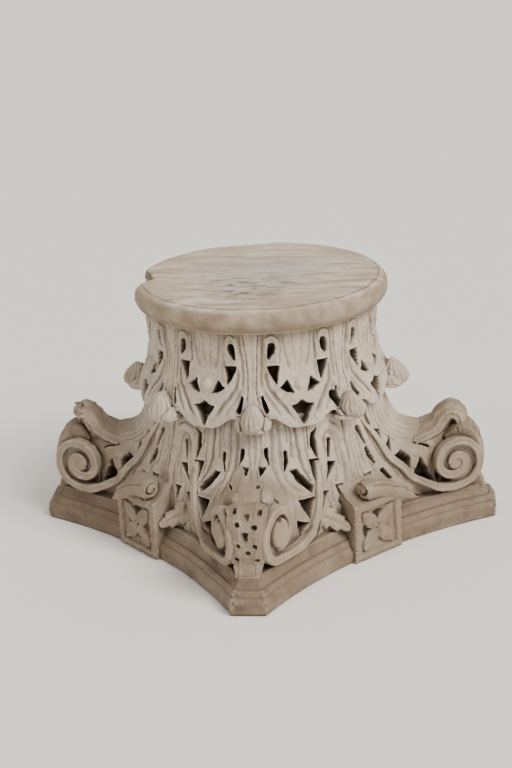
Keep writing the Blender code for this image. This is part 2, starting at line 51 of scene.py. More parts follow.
# Main sizes, the same as the solid's
REACH = 0.32
CUT_HALF = 0.023
SIDE = 0.209
ABACUS_TOP = 0.046
BAND_TOP = 0.023
BEAD_TOP = 0.031
BEAD_INSET = 0.008
TOP_INSET = 0.018
NECK = 0.156
HEM_Z = 0.196
HEM_R = 0.171
SHELF_Z = 0.133
CORNER_REACH = 0.252
CORNER_FOOT = 0.258
BELL_FOOT = 0.186
TOP_Z = 0.352
ASTRAGAL_Z = 0.317
ASTRAGAL_R = 0.174
FLAT_R = 0.161
BLOCK_FACE = 0.2165
BLOCK_HALF = 0.042
BLOCK_TOP = 0.081
BLOCK_BACK = 0.1665
BLOCK_SHIFT = (0.01, 0.0, 0.0, -0.026)
VOLUTE_REACH = 0.264
VOLUTE_OUT = 0.041
VOLUTE_Z = 0.088
VOLUTE_TURN = radians(24)

# Carving

AT_RIM = 0.98
FLUTE_ROUND = 0.78
FLUTE_FADE = 0.16
LINE_FADE = 0.12
HOLE_DEPTH = 0.017
SKIN_UNEVEN = 0.0006
SKIN_WAVES = 0.028


def smooth(low, high, value):
    """Soft step from 0 at low to 1 at high; low may be the larger one."""
    share = np.clip((value - low) / (high - low), 0.0, 1.0)
    return share * share * (3.0 - 2.0 * share)


def bump(value, centre, width):
    """Bell curve, 1 at its centre."""
    return np.exp(-((value - centre) / width) ** 2)


def mix(a, b, share):
    return a + (b - a) * share


def wobble(place, size, seed):
    """Smooth unevenness between about -1 and 1, with waves of the given size in metres."""
    random = np.random.RandomState(seed)
    total = 0.0
    for octave in range(3):
        ways = random.normal(size=(3, 3))
        ways /= np.linalg.norm(ways, axis=1)[:, None]
        turns = random.uniform(0, 2 * pi, 3)
        waves = place @ ways.T * (2 * pi / size * 1.9 ** octave) + turns
        total = total + np.sin(waves).prod(axis=-1) * 1.6 / 1.5 ** octave
    return np.clip(total, -1.5, 1.5) / 1.5


def through(points, share):
    """Smooth curve through the given points, read at shares of its way."""
    points = np.array(points, float)
    last = len(points) - 1
    place = np.clip(share, 0, 1) * last
    i = np.minimum(place.astype(int), last - 1)
    t = (place - i)[..., None]
    before = points[np.maximum(i - 1, 0)]
    a = points[i]
    b = points[i + 1]
    after = points[np.minimum(i + 2, last)]
    curve = 2 * before - 5 * a + 4 * b - after + t * (3 * (a - b) + after - before)
    return a + 0.5 * t * (b - before + t * curve)


def around(count):
    """Angles of one whole turn."""
    return np.linspace(0, 2 * pi, count, endpoint=False)


def polar(radius, angle, height):
    """Points at a distance from the axis, at an angle round it."""
    return np.stack([radius * np.cos(angle), radius * np.sin(angle), height + 0 * radius], axis=-1)


def diagonal(corner):
    """Angle of a corner round the axis."""
    return -pi / 2 + corner * pi / 2


def facing(angle, out, across, up):
    """Points given along a direction from the axis, across it (anticlockwise) and upwards."""
    x = out * cos(angle) - across * sin(angle)
    y = out * sin(angle) + across * cos(angle)
    return np.stack([x, y, up + 0 * out], axis=-1)


def roughen(points, amount, size, seed, ways=1.0):
    """Shifts points unevenly by up to an amount, with waves of a given size."""
    return points + amount * wobble(points, size, seed)[..., None] * ways


def unit(vectors):
    return vectors / np.linalg.norm(vectors, axis=1, keepdims=True)


def handed(flip, *grids):
    """Turns the columns of a mirrored piece's grids round, so that its faces still point out."""
    return [grid[:, ::-1] if flip else grid for grid in grids]


def fade(points, along, run):
    """Fades a groove in and out along its way; one that comes from the rim is deep from its start."""
    start = 1.0 if points[0][1] > AT_RIM else smooth(0.0, run, along)
    return start * smooth(1.0, 1.0 - run, along)


# Meshes

def add_object(name, data):
    """A new object, linked into the scene."""
    thing = bpy.data.objects.new(name, data)
    bpy.context.scene.collection.objects.link(thing)
    return thing


def new_mesh(name, verts, faces, material):
    mesh = bpy.data.meshes.new(name)
    mesh.from_pydata(np.asarray(verts, float).tolist(), [], faces)
    mesh.validate()
    mesh.materials.append(material)
    mesh.shade_smooth()
    return mesh


def new_piece(name, verts, faces, shade_and_dirt, sharp=radians(50), stain=0.0):
    """One skin, with its painted shade and grime at each point and its share of brown stain as attributes."""
    mesh = new_mesh(name, verts, faces, MARBLE)
    layer = mesh.attributes.new("shade_and_dirt", "FLOAT", "POINT")
    layer.data.foreach_set("value", np.asarray(shade_and_dirt, np.float32))
    if stain:
        layer = mesh.attributes.new("stain", "FLOAT", "POINT")
        layer.data.foreach_set("value", np.full(len(verts), stain, np.float32))
    mesh.set_sharp_from_angle(angle=sharp)
    mesh.update()
    piece = add_object(name, mesh)
    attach(piece, "root")
    PIECES.append(piece)


def grid_faces(rows, cols, wrap):
    """Quads between neighbouring rows and columns; wrap joins the last column to the first."""
    r = np.arange(rows - 1)[:, None]
    c = np.arange(cols if wrap else cols - 1)[None, :]
    n = (c + 1) % cols
    a = r * cols + c
    b = r * cols + n
    quads = np.stack([a, b, b + cols, a + cols], axis=-1)
    return quads.reshape(-1, 4).tolist()


def tube(name, rings, shade_and_dirt, sharp=radians(50), stain=0.0):
    """Closed piece from rings of points (rings, around, xyz), turning anticlockwise seen from the end."""
    rows, cols = rings.shape[:2]
    faces = grid_faces(rows, cols, True)
    faces.append(list(range(cols))[::-1])
    faces.append(list(range((rows - 1) * cols, rows * cols)))
    new_piece(name, rings.reshape(-1, 3), faces, shade_and_dirt.reshape(-1), sharp, stain)


def wedge(name, front, shade_and_dirt):
    """Sector of the round body: a front of rows (upwards) and columns (anticlockwise), closed to the axis."""
    rows, cols = front.shape[:2]
    faces = grid_faces(rows, cols, False)
    low = rows * cols
    high = low + 1
    verts = np.vstack([front.reshape(-1, 3), [0, 0, front[0, :, 2].mean()], [0, 0, front[-1, :, 2].mean()]])
    first = [i * cols for i in range(rows)]
    last = [i * cols + cols - 1 for i in range(rows)]
    faces.append([low] + list(range(cols))[::-1])
    faces.append([high] + list(range((rows - 1) * cols, rows * cols)))
    faces.append([low] + first + [high])
    faces.append([high] + last[::-1] + [low])
    new_piece(name, verts, faces, np.concatenate([shade_and_dirt.reshape(-1), [0.5, 0.5]]))


def push(points, amount):
    """Moves a grid of points along its outward normals; its end columns stay in their upright planes."""
    normal = np.cross(np.gradient(points, axis=1), np.gradient(points, axis=0))
    for column in (0, -1):
        radial = unit(points[:, column, :2])
        reach = (normal[:, column, :2] * radial).sum(axis=1, keepdims=True)
        normal[:, column, :2] = radial * reach
    normal /= np.maximum(np.linalg.norm(normal, axis=-1, keepdims=True), 1e-12)
    return points + normal * amount[..., None]


class Drawing:
    """Carving drawn on a grid: places are (degrees, share), sizes are in millimetres on the surface."""

    def __init__(self, degrees, share, points, turn, rows):
        self.x = degrees
        self.y = share
        span = np.linalg.norm(np.gradient(points, axis=1), axis=-1)
        self.kx = 1000 * span / np.maximum(np.degrees(np.abs(np.gradient(turn, axis=1))), 1e-6)
        rise = np.linalg.norm(np.gradient(points, axis=0), axis=-1)
        self.ky = 1000 * rise / np.maximum(np.abs(np.gradient(rows, axis=0)), 1e-6)
        self.depth = np.zeros(degrees.shape)
        self.pit = np.zeros(degrees.shape)
        self.edge = np.full(degrees.shape, 1e3)

    def segment(self, a, b):
        """Distance to a straight bit, and the share of it at the nearest place."""
        wx, wy = (b[0] - a[0]) * self.kx, (b[1] - a[1]) * self.ky
        px, py = (self.x - a[0]) * self.kx, (self.y - a[1]) * self.ky
        t = np.clip((px * wx + py * wy) / (wx * wx + wy * wy + 1e-9), 0, 1)
        return np.hypot(px - t * wx, py - t * wy), t

    def line(self, points):
        """Distance to a run of straight bits and the share of the run at the nearest place."""
        best, along = np.full(self.x.shape, 1e3), np.zeros(self.x.shape)
        for i, (a, b) in enumerate(zip(points, points[1:])):
            gap, t = self.segment(a, b)
            along = np.where(gap < best, (i + t) / (len(points) - 1), along)
            best = np.minimum(best, gap)
        return best, along

    def run(self, points, radii):
        """Distance to a run of straight bits whose radius changes from point to point."""
        best = np.full(self.x.shape, 1e3)
        for a, b, ra, rb in zip(points, points[1:], radii, radii[1:]):
            gap, t = self.segment(a, b)
            best = np.minimum(best, gap - (ra + (rb - ra) * t))
        return best

    def shape(self, points):
        """Distance to a closed outline, negative inside."""
        best = np.full(self.x.shape, 1e3)
        inside = np.zeros(self.x.shape, bool)
        for a, b in zip(points, points[1:] + points[:1]):
            best = np.minimum(best, self.segment(a, b)[0])
            crosses = (a[1] > self.y) != (b[1] > self.y)
            inside ^= crosses & (self.x < (b[0] - a[0]) * (self.y - a[1]) / (b[1] - a[1] + 1e-12) + a[0])
        return best * np.where(inside, -1.0, 1.0)

    def strokes(self, lines, section, run):
        """The most that any line gives: its size times its cross section, faded at its ends."""
        most = np.zeros(self.x.shape)
        for points, width, size in lines:
            gap, along = self.line(points)
            most = np.maximum(most, size * section(gap / width) * fade(points, along, run))
        return most

    def flutes(self, lines):
        """Round-bottomed grooves that meet in sharp ridges."""
        self.depth -= self.strokes(lines, lambda gap: FLUTE_ROUND * np.clip(1 - gap ** 2, 0, 1), FLUTE_FADE)

    def creases(self, lines):
        """Sharp cuts along the edges of lobes."""
        self.depth -= self.strokes(lines, lambda gap: np.exp(-gap), LINE_FADE)

    def ridges(self, lines):
        """Round raised lines."""
        self.depth += self.strokes(lines, lambda gap: np.sqrt(np.clip(1 - gap ** 2, 0, 1)), LINE_FADE)

    def raise_shape(self, points, high, soft):
        self.depth += high * smooth(soft, -soft, self.shape(points))

    def holes(self, holes):
        """Pierced holes: outlines, or runs with a radius at each point, with a low swell round each."""
        for hole in holes:
            gap = self.run(*hole) if len(hole) > 1 else self.shape(hole[0]) - 0.4
            self.edge = np.minimum(self.edge, gap)
        self.pit = smooth(0.35, -1.25, self.edge)
        lip = 1.2 * smooth(3.4, 1.2, self.edge) - 1.5 * smooth(1.2, 0.0, self.edge)
        self.depth = (self.depth + lip) * (1 - self.pit)

    def carve(self, base, edges, wander, seed):
        """The surface with its carving, faded by the edges' share; the wander varies the holes' depth."""
        amount = self.depth / 1000 * edges - self.pit * HOLE_DEPTH * edges * (1 + wander)
        return push(base, amount + SKIN_UNEVEN * wobble(base, SKIN_WAVES, seed))


# Upper ring of leaves. Degrees from a leaf's middle (0 to 22.5) and shares of the way from hem to neck.

UPPER_HOLES = [
    ([(9.7, 0.81), (9.3, 0.75), (8.2, 0.685)], (4.4, 4.3, 1.9)),
    ([(7.2, 0.6), (12.9, 0.6), (12.5, 0.52), (11.6, 0.415), (9.9, 0.47), (8.2, 0.54)],),
    ([(13.0, 0.375), (16.6, 0.445), (17.6, 0.4), (19.3, 0.325), (16.5, 0.335)],),
    ([
        (17.7, 0.205), (20.0, 0.215), (22.5, 0.25), (24.5, 0.24), (23.3, 0.08), (22.6, 0.02), (21.9, 0.03),
        (20.4, 0.11),
    ],),
    ([(4.7, 0.3), (5.4, 0.22), (6.4, 0.13)], (1.5, 2.5, 2.8)),
]
UPPER_FLUTES = [
    ([(0.0, 1.0), (0.0, 0.62), (0.0, 0.2)], 3.0, 1.5),
    ([(5.9, 1.0), (5.3, 0.8), (4.5, 0.64), (4.2, 0.48), (4.6, 0.34)], 3.4, 2.6),
    ([(6.9, 0.6), (6.5, 0.49), (7.6, 0.385), (10.4, 0.29), (14.2, 0.18), (18.0, 0.05)], 3.6, 2.8),
    ([(4.6, 0.38), (7.6, 0.27), (10.4, 0.15), (12.4, 0.03)], 3.8, 2.4),
    ([(11.9, 1.0), (12.6, 0.86), (12.4, 0.74), (11.4, 0.655)], 2.1, 2.0),
    ([(15.2, 1.0), (15.8, 0.82), (17.0, 0.66), (19.0, 0.51)], 4.0, 2.4),
    ([(19.8, 1.0), (20.2, 0.82), (20.9, 0.66), (21.8, 0.49)], 2.9, 2.1),
]
UPPER_CREASES = [
    ([(4.2, 1.0), (2.9, 0.76), (2.0, 0.55), (1.9, 0.38), (3.0, 0.2)], 0.9, 2.6),
    ([(13.5, 1.0), (13.9, 0.82), (13.6, 0.64), (13.4, 0.6)], 1.0, 3.0),
    ([(7.9, 0.9), (6.5, 0.83), (6.2, 0.72), (7.0, 0.64)], 0.8, 1.4),
    ([(9.0, 0.36), (12.8, 0.26), (16.4, 0.14), (18.6, 0.03)], 0.8, 1.6),
    ([(17.6, 1.0), (18.1, 0.82), (19.2, 0.64), (20.8, 0.49)], 0.8, 1.8),
]
UPPER_ARCH = [
    (6.6, 0.66), (6.4, 0.78), (7.6, 0.89), (9.9, 0.925), (12.0, 0.87), (12.7, 0.78), (12.1, 0.69),
    (10.6, 0.62),
]
HEM_BITE = [(-7.4, 0.24), (-5.6, 0.13)], (5.6, 7.4)
PANEL_SINK = 2.4
HEM_FLARE = 2.2
HEM_TUCK = ((0.004, -0.0006), (0.009, 0.002), (0.016, 0.005), (0.03, 0.006))
# Painted shade on the tucked-under rows of the hem.
UNDERSIDE_SHADE = 0.45
KNOB_LEVEL = 0.395
KNOB_HEIGHT = 7.5
MM_PER_DEGREE = 2.83
RING_MM = 125

# Lower row, shared by all corners. Degrees from the diagonal (0 to 45), shares from abacus to hem.

BLOCK_SIDE_HOLES = [
    ([(34.7, 0.42), (38.8, 0.415), (38.0, 0.36), (37.4, 0.3), (35.8, 0.36)],),
    ([(37.1, 0.195), (40.2, 0.18), (40.4, 0.1), (38.8, 0.15)],),
    ([(32.4, 0.108), (34.6, 0.07), (39.5, -0.04), (26.5, -0.04), (30.2, 0.06)],),
]
MIDDLE_FLUTES = [
    ([(45.0, 1.0), (45.0, 0.66), (45.0, 0.34)], 3.6, 2.6),
]

# Lower row of the front corner

LOWER_HOLES = BLOCK_SIDE_HOLES + [
    ([(5.1, 0.8), (5.3, 0.76), (6.4, 0.69)], (2.7, 2.7, 0.6)),
    ([(13.6, 0.76), (13.6, 0.7), (12.7, 0.625)], (2.3, 2.3, 0.5)),
    ([(2.3, 0.67), (4.7, 0.67), (3.6, 0.62), (2.5, 0.585)],),
    ([(14.6, 0.612), (17.4, 0.615), (20.3, 0.54), (24.2, 0.45), (22.9, 0.4), (20.3, 0.44), (17.0, 0.51)],),
    ([(16.2, 0.342), (23.6, 0.36), (22.3, 0.29), (20.6, 0.205), (18.4, 0.27)],),
    ([(29.4, 0.895), (26.4, 0.865), (25.7, 0.78), (28.0, 0.69), (27.8, 0.78), (28.0, 0.85)],),
    ([(35.4, 0.79), (34.4, 0.73), (34.0, 0.67)], (2.6, 2.4, 1.4)),
    ([(24.4, 0.675), (28.7, 0.67), (27.0, 0.58), (25.7, 0.495), (25.2, 0.58)],),
    ([(33.3, 0.628), (37.2, 0.615), (34.4, 0.56), (31.4, 0.49), (32.7, 0.56)],),
    ([(27.8, 0.388), (30.8, 0.388), (28.6, 0.33), (27.2, 0.275)],),
    ([(15.4, 0.2), (20.0, 0.18), (17.6, 0.14), (15.6, 0.09)],),
    ([(24.9, 0.17), (23.8, 0.11), (22.0, 0.04)], (1.7, 1.5, 0.8)),
]
LOWER_FLUTES = MIDDLE_FLUTES + [
    ([(0.0, 1.0), (0.0, 0.78), (0.0, 0.56)], 2.4, 1.8),
    ([(2.6, 1.0), (2.4, 0.78), (1.5, 0.62), (1.1, 0.52)], 2.4, 1.8),
    ([(4.9, 1.0), (5.0, 0.92), (5.0, 0.85)], 2.6, 1.3),
    ([(7.8, 1.0), (7.7, 0.8), (8.2, 0.66), (9.6, 0.55), (11.4, 0.45), (12.6, 0.35)], 5.2, 2.6),
    ([(11.0, 1.0), (11.0, 0.8), (11.4, 0.66), (13.0, 0.54), (16.2, 0.455), (20.8, 0.39)], 3.6, 2.4),
    ([(16.3, 1.0), (16.3, 0.82), (16.4, 0.69)], 3.0, 2.4),
    ([(19.0, 1.0), (19.2, 0.84), (19.9, 0.72), (21.2, 0.61), (23.2, 0.52), (24.6, 0.46)], 3.2, 3.0),
    ([(22.6, 1.0), (22.9, 0.86), (23.4, 0.72), (23.9, 0.62), (24.6, 0.52)], 2.8, 2.2),
    ([(13.2, 0.47), (14.5, 0.38), (15.0, 0.28), (14.6, 0.17)], 3.4, 2.2),
    ([(15.8, 0.395), (19.2, 0.375), (23.4, 0.385)], 2.6, 1.5),
    ([
        (31.8, 0.66), (32.2, 0.78), (34.2, 0.845), (37.0, 0.84), (38.7, 0.76), (39.6, 0.62), (40.0, 0.48),
    ], 2.8, 2.4),
    ([(41.0, 0.72), (41.6, 0.55), (41.3, 0.4), (40.6, 0.27)], 2.8, 2.0),
    ([(29.8, 0.63), (28.9, 0.5), (27.8, 0.4)], 2.6, 2.2),
    ([(31.8, 0.6), (30.8, 0.5), (29.8, 0.42)], 2.2, 1.8),
    ([(37.8, 0.61), (36.8, 0.5), (35.6, 0.43)], 2.6, 2.2),
    ([(33.2, 0.48), (32.6, 0.38), (33.4, 0.28), (34.3, 0.2), (33.9, 0.13)], 3.2, 2.4),
    ([(30.6, 0.28), (29.3, 0.19), (27.2, 0.08), (25.6, 0.0)], 3.0, 2.6),
    ([(35.8, 0.25), (35.6, 0.19), (37.0, 0.12), (39.4, 0.05)], 2.4, 2.0),
]
LOWER_CREASES = [
    ([(24.2, 1.0), (24.6, 0.86), (24.8, 0.74)], 0.9, 2.4),
    ([(14.6, 1.0), (14.7, 0.9), (14.4, 0.8)], 0.9, 2.0),
    ([(27.9, 0.6), (26.4, 0.46), (26.7, 0.36), (26.6, 0.27), (25.2, 0.18)], 0.9, 2.4),
    ([(44.0, 0.92), (46.0, 0.8), (46.8, 0.6)], 0.9, 2.0),
    ([(30.6, 0.38), (31.0, 0.28), (31.3, 0.18), (32.2, 0.11)], 0.9, 2.6),
    ([(39.0, 0.41), (39.8, 0.3), (40.6, 0.2)], 0.9, 2.2),
]

# Lower row of the other corners

FLANK_HOLES = BLOCK_SIDE_HOLES + [
    ([(25.2, 0.735), (20.0, 0.7), (22.2, 0.6), (23.4, 0.51)],),
    ([(16.2, 0.61), (22.4, 0.52), (22.0, 0.43), (19.4, 0.52)],),
    ([(16.4, 0.44), (21.2, 0.42), (17.4, 0.235), (15.6, 0.33)],),
    ([(12.4, 0.29), (15.6, 0.2), (12.6, 0.13), (9.2, 0.105)],),
    ([(11.1, 0.425), (9.1, 0.33)], (1.5, 2.0)),
    ([(8.4, 0.2), (8.0, 0.13), (7.6, 0.06)], (1.4, 2.6, 3.2)),
    ([(36.2, 0.8), (33.4, 0.67)], (3.0, 1.8)),
    ([(33.4, 0.62), (31.0, 0.48)], (3.4, 1.8)),
    ([(28.6, 0.38), (25.8, 0.28)], (2.6, 1.7)),
    ([(19.8, 0.15), (17.0, 0.085), (14.0, 0.055)], (1.8, 2.2, 1.0)),
    ([(30.4, 0.9), (27.6, 0.78)], (3.2, 2.0)),
]
FLANK_FLUTES = MIDDLE_FLUTES + [
    ([(0.0, 1.0), (0.0, 0.78), (0.0, 0.56)], 2.4, 1.4),
    ([(5.0, 1.0), (4.6, 0.8), (3.6, 0.62), (2.6, 0.5)], 3.4, 1.6),
    ([(10.0, 1.0), (9.4, 0.8), (7.6, 0.62), (5.8, 0.5)], 4.0, 1.8),
    ([(14.5, 1.0), (13.6, 0.8), (11.0, 0.62), (8.6, 0.5)], 4.0, 2.0),
    ([(18.5, 1.0), (17.6, 0.82), (14.8, 0.66), (12.0, 0.54), (9.6, 0.45)], 3.6, 2.2),
    ([(22.0, 1.0), (21.4, 0.84), (18.8, 0.69), (16.2, 0.6), (13.8, 0.5)], 3.2, 2.4),
    ([(25.0, 1.0), (24.6, 0.86), (22.8, 0.74), (21.0, 0.64)], 3.0, 2.2),
    ([(22.0, 0.44), (18.6, 0.42), (15.0, 0.34), (12.4, 0.28)], 2.8, 2.0),
    ([(17.4, 0.28), (15.4, 0.245), (12.6, 0.2), (10.0, 0.15)], 2.4, 1.6),
    ([(29.0, 1.0), (29.6, 0.88), (28.2, 0.78), (26.6, 0.72)], 2.6, 2.0),
    ([(41.0, 0.92), (41.6, 0.72), (41.3, 0.5), (40.6, 0.3)], 2.8, 2.2),
    ([(37.6, 0.96), (37.6, 0.76), (36.4, 0.58), (35.0, 0.46)], 2.8, 2.4),
    ([(34.4, 0.64), (33.2, 0.5), (32.0, 0.38), (31.2, 0.24), (30.4, 0.12)], 2.8, 2.2),
    ([(30.4, 0.42), (28.8, 0.32), (26.8, 0.2), (24.0, 0.1)], 2.8, 2.2),
    ([(37.0, 0.3), (36.2, 0.2), (37.0, 0.12), (39.4, 0.05)], 2.4, 2.0),
]
FLANK_CREASES = [
    ([
        (34.8, 0.92), (30.6, 0.79), (28.0, 0.68), (26.0, 0.55), (25.0, 0.44), (23.0, 0.31), (19.8, 0.19),
    ], 0.9, 2.6),
    ([
        (31.8, 0.91), (27.4, 0.76), (24.6, 0.66), (23.2, 0.54), (22.6, 0.44), (20.4, 0.32), (17.2, 0.21),
    ], 0.9, 2.6),
    ([(39.6, 0.9), (39.8, 0.7), (38.8, 0.52), (38.6, 0.4)], 0.9, 2.2),
    ([(43.4, 0.8), (43.8, 0.6), (43.0, 0.4), (42.4, 0.22)], 0.9, 2.2),
]

# Raised shapes: the crook between the front corner's leaves, and each lobe tip beside a block

CROOK = [
    (28.9, 0.58), (29.8, 0.7), (30.0, 0.81), (32.3, 0.88), (36.0, 0.895), (39.4, 0.865),
    (41.8, 0.78), (43.0, 0.66), (43.4, 0.52), (43.6, 0.38),
]
LOBE_TIP = [
    (30.9, 0.3), (36.4, 0.27), (37.0, 0.2), (38.4, 0.13), (42.6, 0.035), (37.0, 0.075), (33.2, 0.12),
    (31.6, 0.2),
]

# Broken faces of the front corner's leaf, each with its dirt, below 0 where the break is fresh

STUMP_FACES = [
    ([
        (-10.2, 0.34), (-9.6, 0.4), (-6.8, 0.415), (-3.8, 0.4), (-3.2, 0.34), (-4.0, 0.3), (-9.0, 0.3),
    ], 0.12),
    ([(3.4, 0.33), (3.4, 0.44), (4.2, 0.49), (5.5, 0.47), (6.6, 0.4), (6.7, 0.33), (5.2, 0.3)], -0.3),
]
STUMP_HOLES = [
    ([(-8.7, 0.495), (-7.2, 0.46)], (1.9, 2.7)),
    ([(2.0, 0.49), (2.1, 0.465)], (2.6, 2.4)),
    ([(7.2, 0.36), (8.4, 0.33)], (1.9, 1.4)),
]


def outline(turn, inset=0.0):
    """Distance of the abacus outline from the axis, at an angle from the nearest diagonal."""
    half = (REACH - CUT_HALF) / 2 ** 0.5
    hollow = (REACH + CUT_HALF) / 2 ** 0.5 - SIDE
    radius = (half * half + hollow * hollow) / (2 * hollow)
    centre = SIDE + radius
    turn = np.abs(turn)
    from_side = pi / 4 - turn
    on_side = centre * np.cos(from_side) - np.sqrt((radius + inset) ** 2 - (centre * np.sin(from_side)) ** 2)
    return np.minimum(on_side, (REACH - inset) / np.cos(turn))


def lower_profile(turn, share):
    """Radius and height of the lower row's surface at an angle from the diagonal."""
    side = through((
        (BELL_FOOT, ABACUS_TOP - 0.012),
        (BELL_FOOT - 0.006, mix(ABACUS_TOP, HEM_Z, 0.28)),
        (NECK + 0.011, mix(ABACUS_TOP, HEM_Z, 0.62)),
        (NECK + 0.002, HEM_Z),
    ), share)
    corner = through((
        (CORNER_FOOT, ABACUS_TOP - 0.012),
        (CORNER_FOOT, mix(ABACUS_TOP, SHELF_Z, 0.5)),
        (CORNER_REACH, SHELF_Z - 0.008),
        (mix(NECK, CORNER_REACH, 0.62), SHELF_Z),
        (mix(NECK, CORNER_REACH, 0.3), SHELF_Z + 0.01),
        (NECK + 0.014, mix(SHELF_Z, HEM_Z, 0.55)),
        (NECK + 0.002, HEM_Z),
    ), share)
    lean = ((outline(turn) - SIDE) / (REACH - SIDE))[..., None]
    return side + (corner - side) * lean


def lower_place(corner, turn, share):
    """Points on the lower row's surface, at angles from a corner's diagonal."""
    rz = lower_profile(turn, share)
    return polar(rz[..., 0], diagonal(corner) + turn, rz[..., 1])


def corner_columns(count):
    """Angles of a corner sector's columns, evenly spaced along the surface at mid height."""
    turns = np.linspace(-pi / 4, pi / 4, 1201)
    spots = lower_place(0, turns, np.full(turns.shape, 0.47))
    run = np.concatenate([[0], np.cumsum(np.linalg.norm(np.diff(spots, axis=0), axis=1))])
    return np.interp(np.linspace(0, run[-1], count), run, turns)


def groove_shade(depth):
    """Painted shade that gathers in grooves, 0 to 0.5, from the carved depth in millimetres."""
    return np.clip(-depth / 2.6, 0, 1) ** 1.5 * 0.44


def with_hole_shade(shade_and_dirt, pit):
    """Painted shade and grime, with the painted shade of the pierced holes in it, 0.5 to 1."""
    return np.where(pit > 0.04, np.maximum(0.5 + 0.5 * pit, shade_and_dirt), shade_and_dirt)


LOWER_GRID = ((360, 178), (290, 140), (210, 100), (290, 140))
UPPER_GRID = ((270, 112), (170, 80), (170, 80), (270, 112))


def make_lower(corner):
    """Pierced leaves of one corner, from the abacus to under the hem."""
    cols, rows = LOWER_GRID[corner]
    turns = corner_columns(cols)
    shares = np.linspace(0.0, 1.04, rows)
    turn, share = np.meshgrid(turns, shares)
    base = lower_place(corner, turn, np.clip(share, 0, 1))
    base[..., 2] += np.clip(share - 1.0, 0, 1) * 0.16
    wander = wobble(base, 0.05, 11)
    signed = np.degrees(turn)
    degrees = np.abs(signed) + 0.35 * wander
    level = share + 0.006 * wobble(base, 0.06, 21)
    carving = Drawing(degrees, level, base, turn, share)
    broken = corner == 0
    carving.flutes(LOWER_FLUTES if broken else FLANK_FLUTES)
    carving.creases(LOWER_CREASES if broken else FLANK_CREASES)
    if broken:
        carving.ridges([(CROOK, 5.0, 3.4)])
    carving.raise_shape(LOBE_TIP, 3.4, 0.8)
    # Painted shade in the grooves; the broken faces below get their grime or fresh colour.
    shade_and_dirt = groove_shade(carving.depth)
    if broken:
        stump = Drawing(signed, level, base, turn, share)
        for face, fresh in STUMP_FACES:
            gap = stump.shape(face)
            carving.depth = mix(carving.depth, 2.6 - 0.35 * gap, smooth(0.6, -0.6, gap))
            shade_and_dirt = mix(shade_and_dirt, fresh, smooth(0.5, -0.8, gap))
        for hole in STUMP_HOLES:
            carving.edge = np.minimum(carving.edge, stump.run(*hole))
    carving.holes(LOWER_HOLES if broken else FLANK_HOLES)
    front = carving.carve(base, smooth(1.02, 0.95, share), 0.25 * wander, 31)
    # Painted shade in the grooves and pierced holes, grime and lighter fresh stone on the breaks.
    wedge(f"lower_leaves_{corner}", front, with_hole_shade(shade_and_dirt, carving.pit))


def make_upper(quarter):
    """A quarter of the upper ring of leaves, from the tucked-under hem to the neck."""
    cols, rows = UPPER_GRID[quarter]
    turns = np.linspace(0, pi / 2, cols)
    shares = np.linspace(0.0, 1.0, rows)
    turn, share = np.meshgrid(turns, shares)
    leaf = pi / 4
    in_leaf = (turn + leaf / 2) % leaf - leaf / 2
    angle = diagonal(quarter) + turn
    from_middle = np.abs(np.degrees(in_leaf))
    scallop = -0.0045 + 0.015 * bump(from_middle, 9.0, 5.0) * smooth(0.35, 0.0, share)
    scallop = scallop * smooth(0.45, 0.0, share)
    radius = mix(HEM_R, NECK, smooth(0.0, 0.62, share))
    height = mix(HEM_Z, ASTRAGAL_Z + 0.006, share) + scallop
    base = polar(radius, angle, height)
    wander = wobble(base, 0.05, 41)
    degrees = from_middle + 0.2 * wander
    level = share + 0.005 * wobble(base, 0.06, 42)
    carving = Drawing(degrees, level, base, turn, share)
    carving.flutes(UPPER_FLUTES)
    carving.creases(UPPER_CREASES)
    # Painted shade in the grooves.
    shade_and_dirt = groove_shade(carving.depth)
    carving.ridges([(UPPER_ARCH, 3.0, 2.6)])
    carving.depth -= PANEL_SINK * smooth(13.2, 14.6, degrees) * smooth(0.4, 0.44, level)
    off = ((degrees - 22.5) * MM_PER_DEGREE / 8.0) ** 2 + ((level - KNOB_LEVEL) * RING_MM / 8.5) ** 2
    knob = KNOB_HEIGHT * np.sqrt(np.clip(1 - off, 0, 1)) * smooth(16.5, 19.0, degrees)
    carving.depth = np.maximum(carving.depth, knob - 3.0)
    carving.depth += HEM_FLARE * smooth(0.38, 0.05, level) * smooth(4.0, 9.0, degrees)
    if quarter == 0:
        bite = Drawing(np.degrees(turn) - 45, level, base, turn, share)
        carving.edge = np.minimum(carving.edge, bite.run(*HEM_BITE))
    carving.holes(UPPER_HOLES)
    front = carving.carve(base, smooth(1.0, 0.95, share), 0.2 * wander, 43)
    lip = []
    for inward, rise in HEM_TUCK:
        row = front[0].copy()
        length = np.hypot(row[:, 0], row[:, 1])[:, None]
        row[:, :2] *= (length - inward) / length
        row[:, 2] += rise
        lip.append(row)
    placed = np.concatenate([np.array(lip)[::-1], front])
    # The tucked-under rows get painted shade; the rest has painted shade in its grooves and holes.
    shade_and_dirt = np.concatenate([np.full((len(lip), cols), UNDERSIDE_SHADE), with_hole_shade(shade_and_dirt, carving.pit)])
    wedge(f"upper_leaves_{quarter}", placed, shade_and_dirt)


def corner_place(corner, reach, across, up):
    """Points given along a corner's diagonal, across it (anticlockwise) and upwards."""
    return facing(diagonal(corner), reach, across, up)


# Lobes of an upper leaf's curled tip: out, across and up of the middle, then half sizes, ribs and rib depth

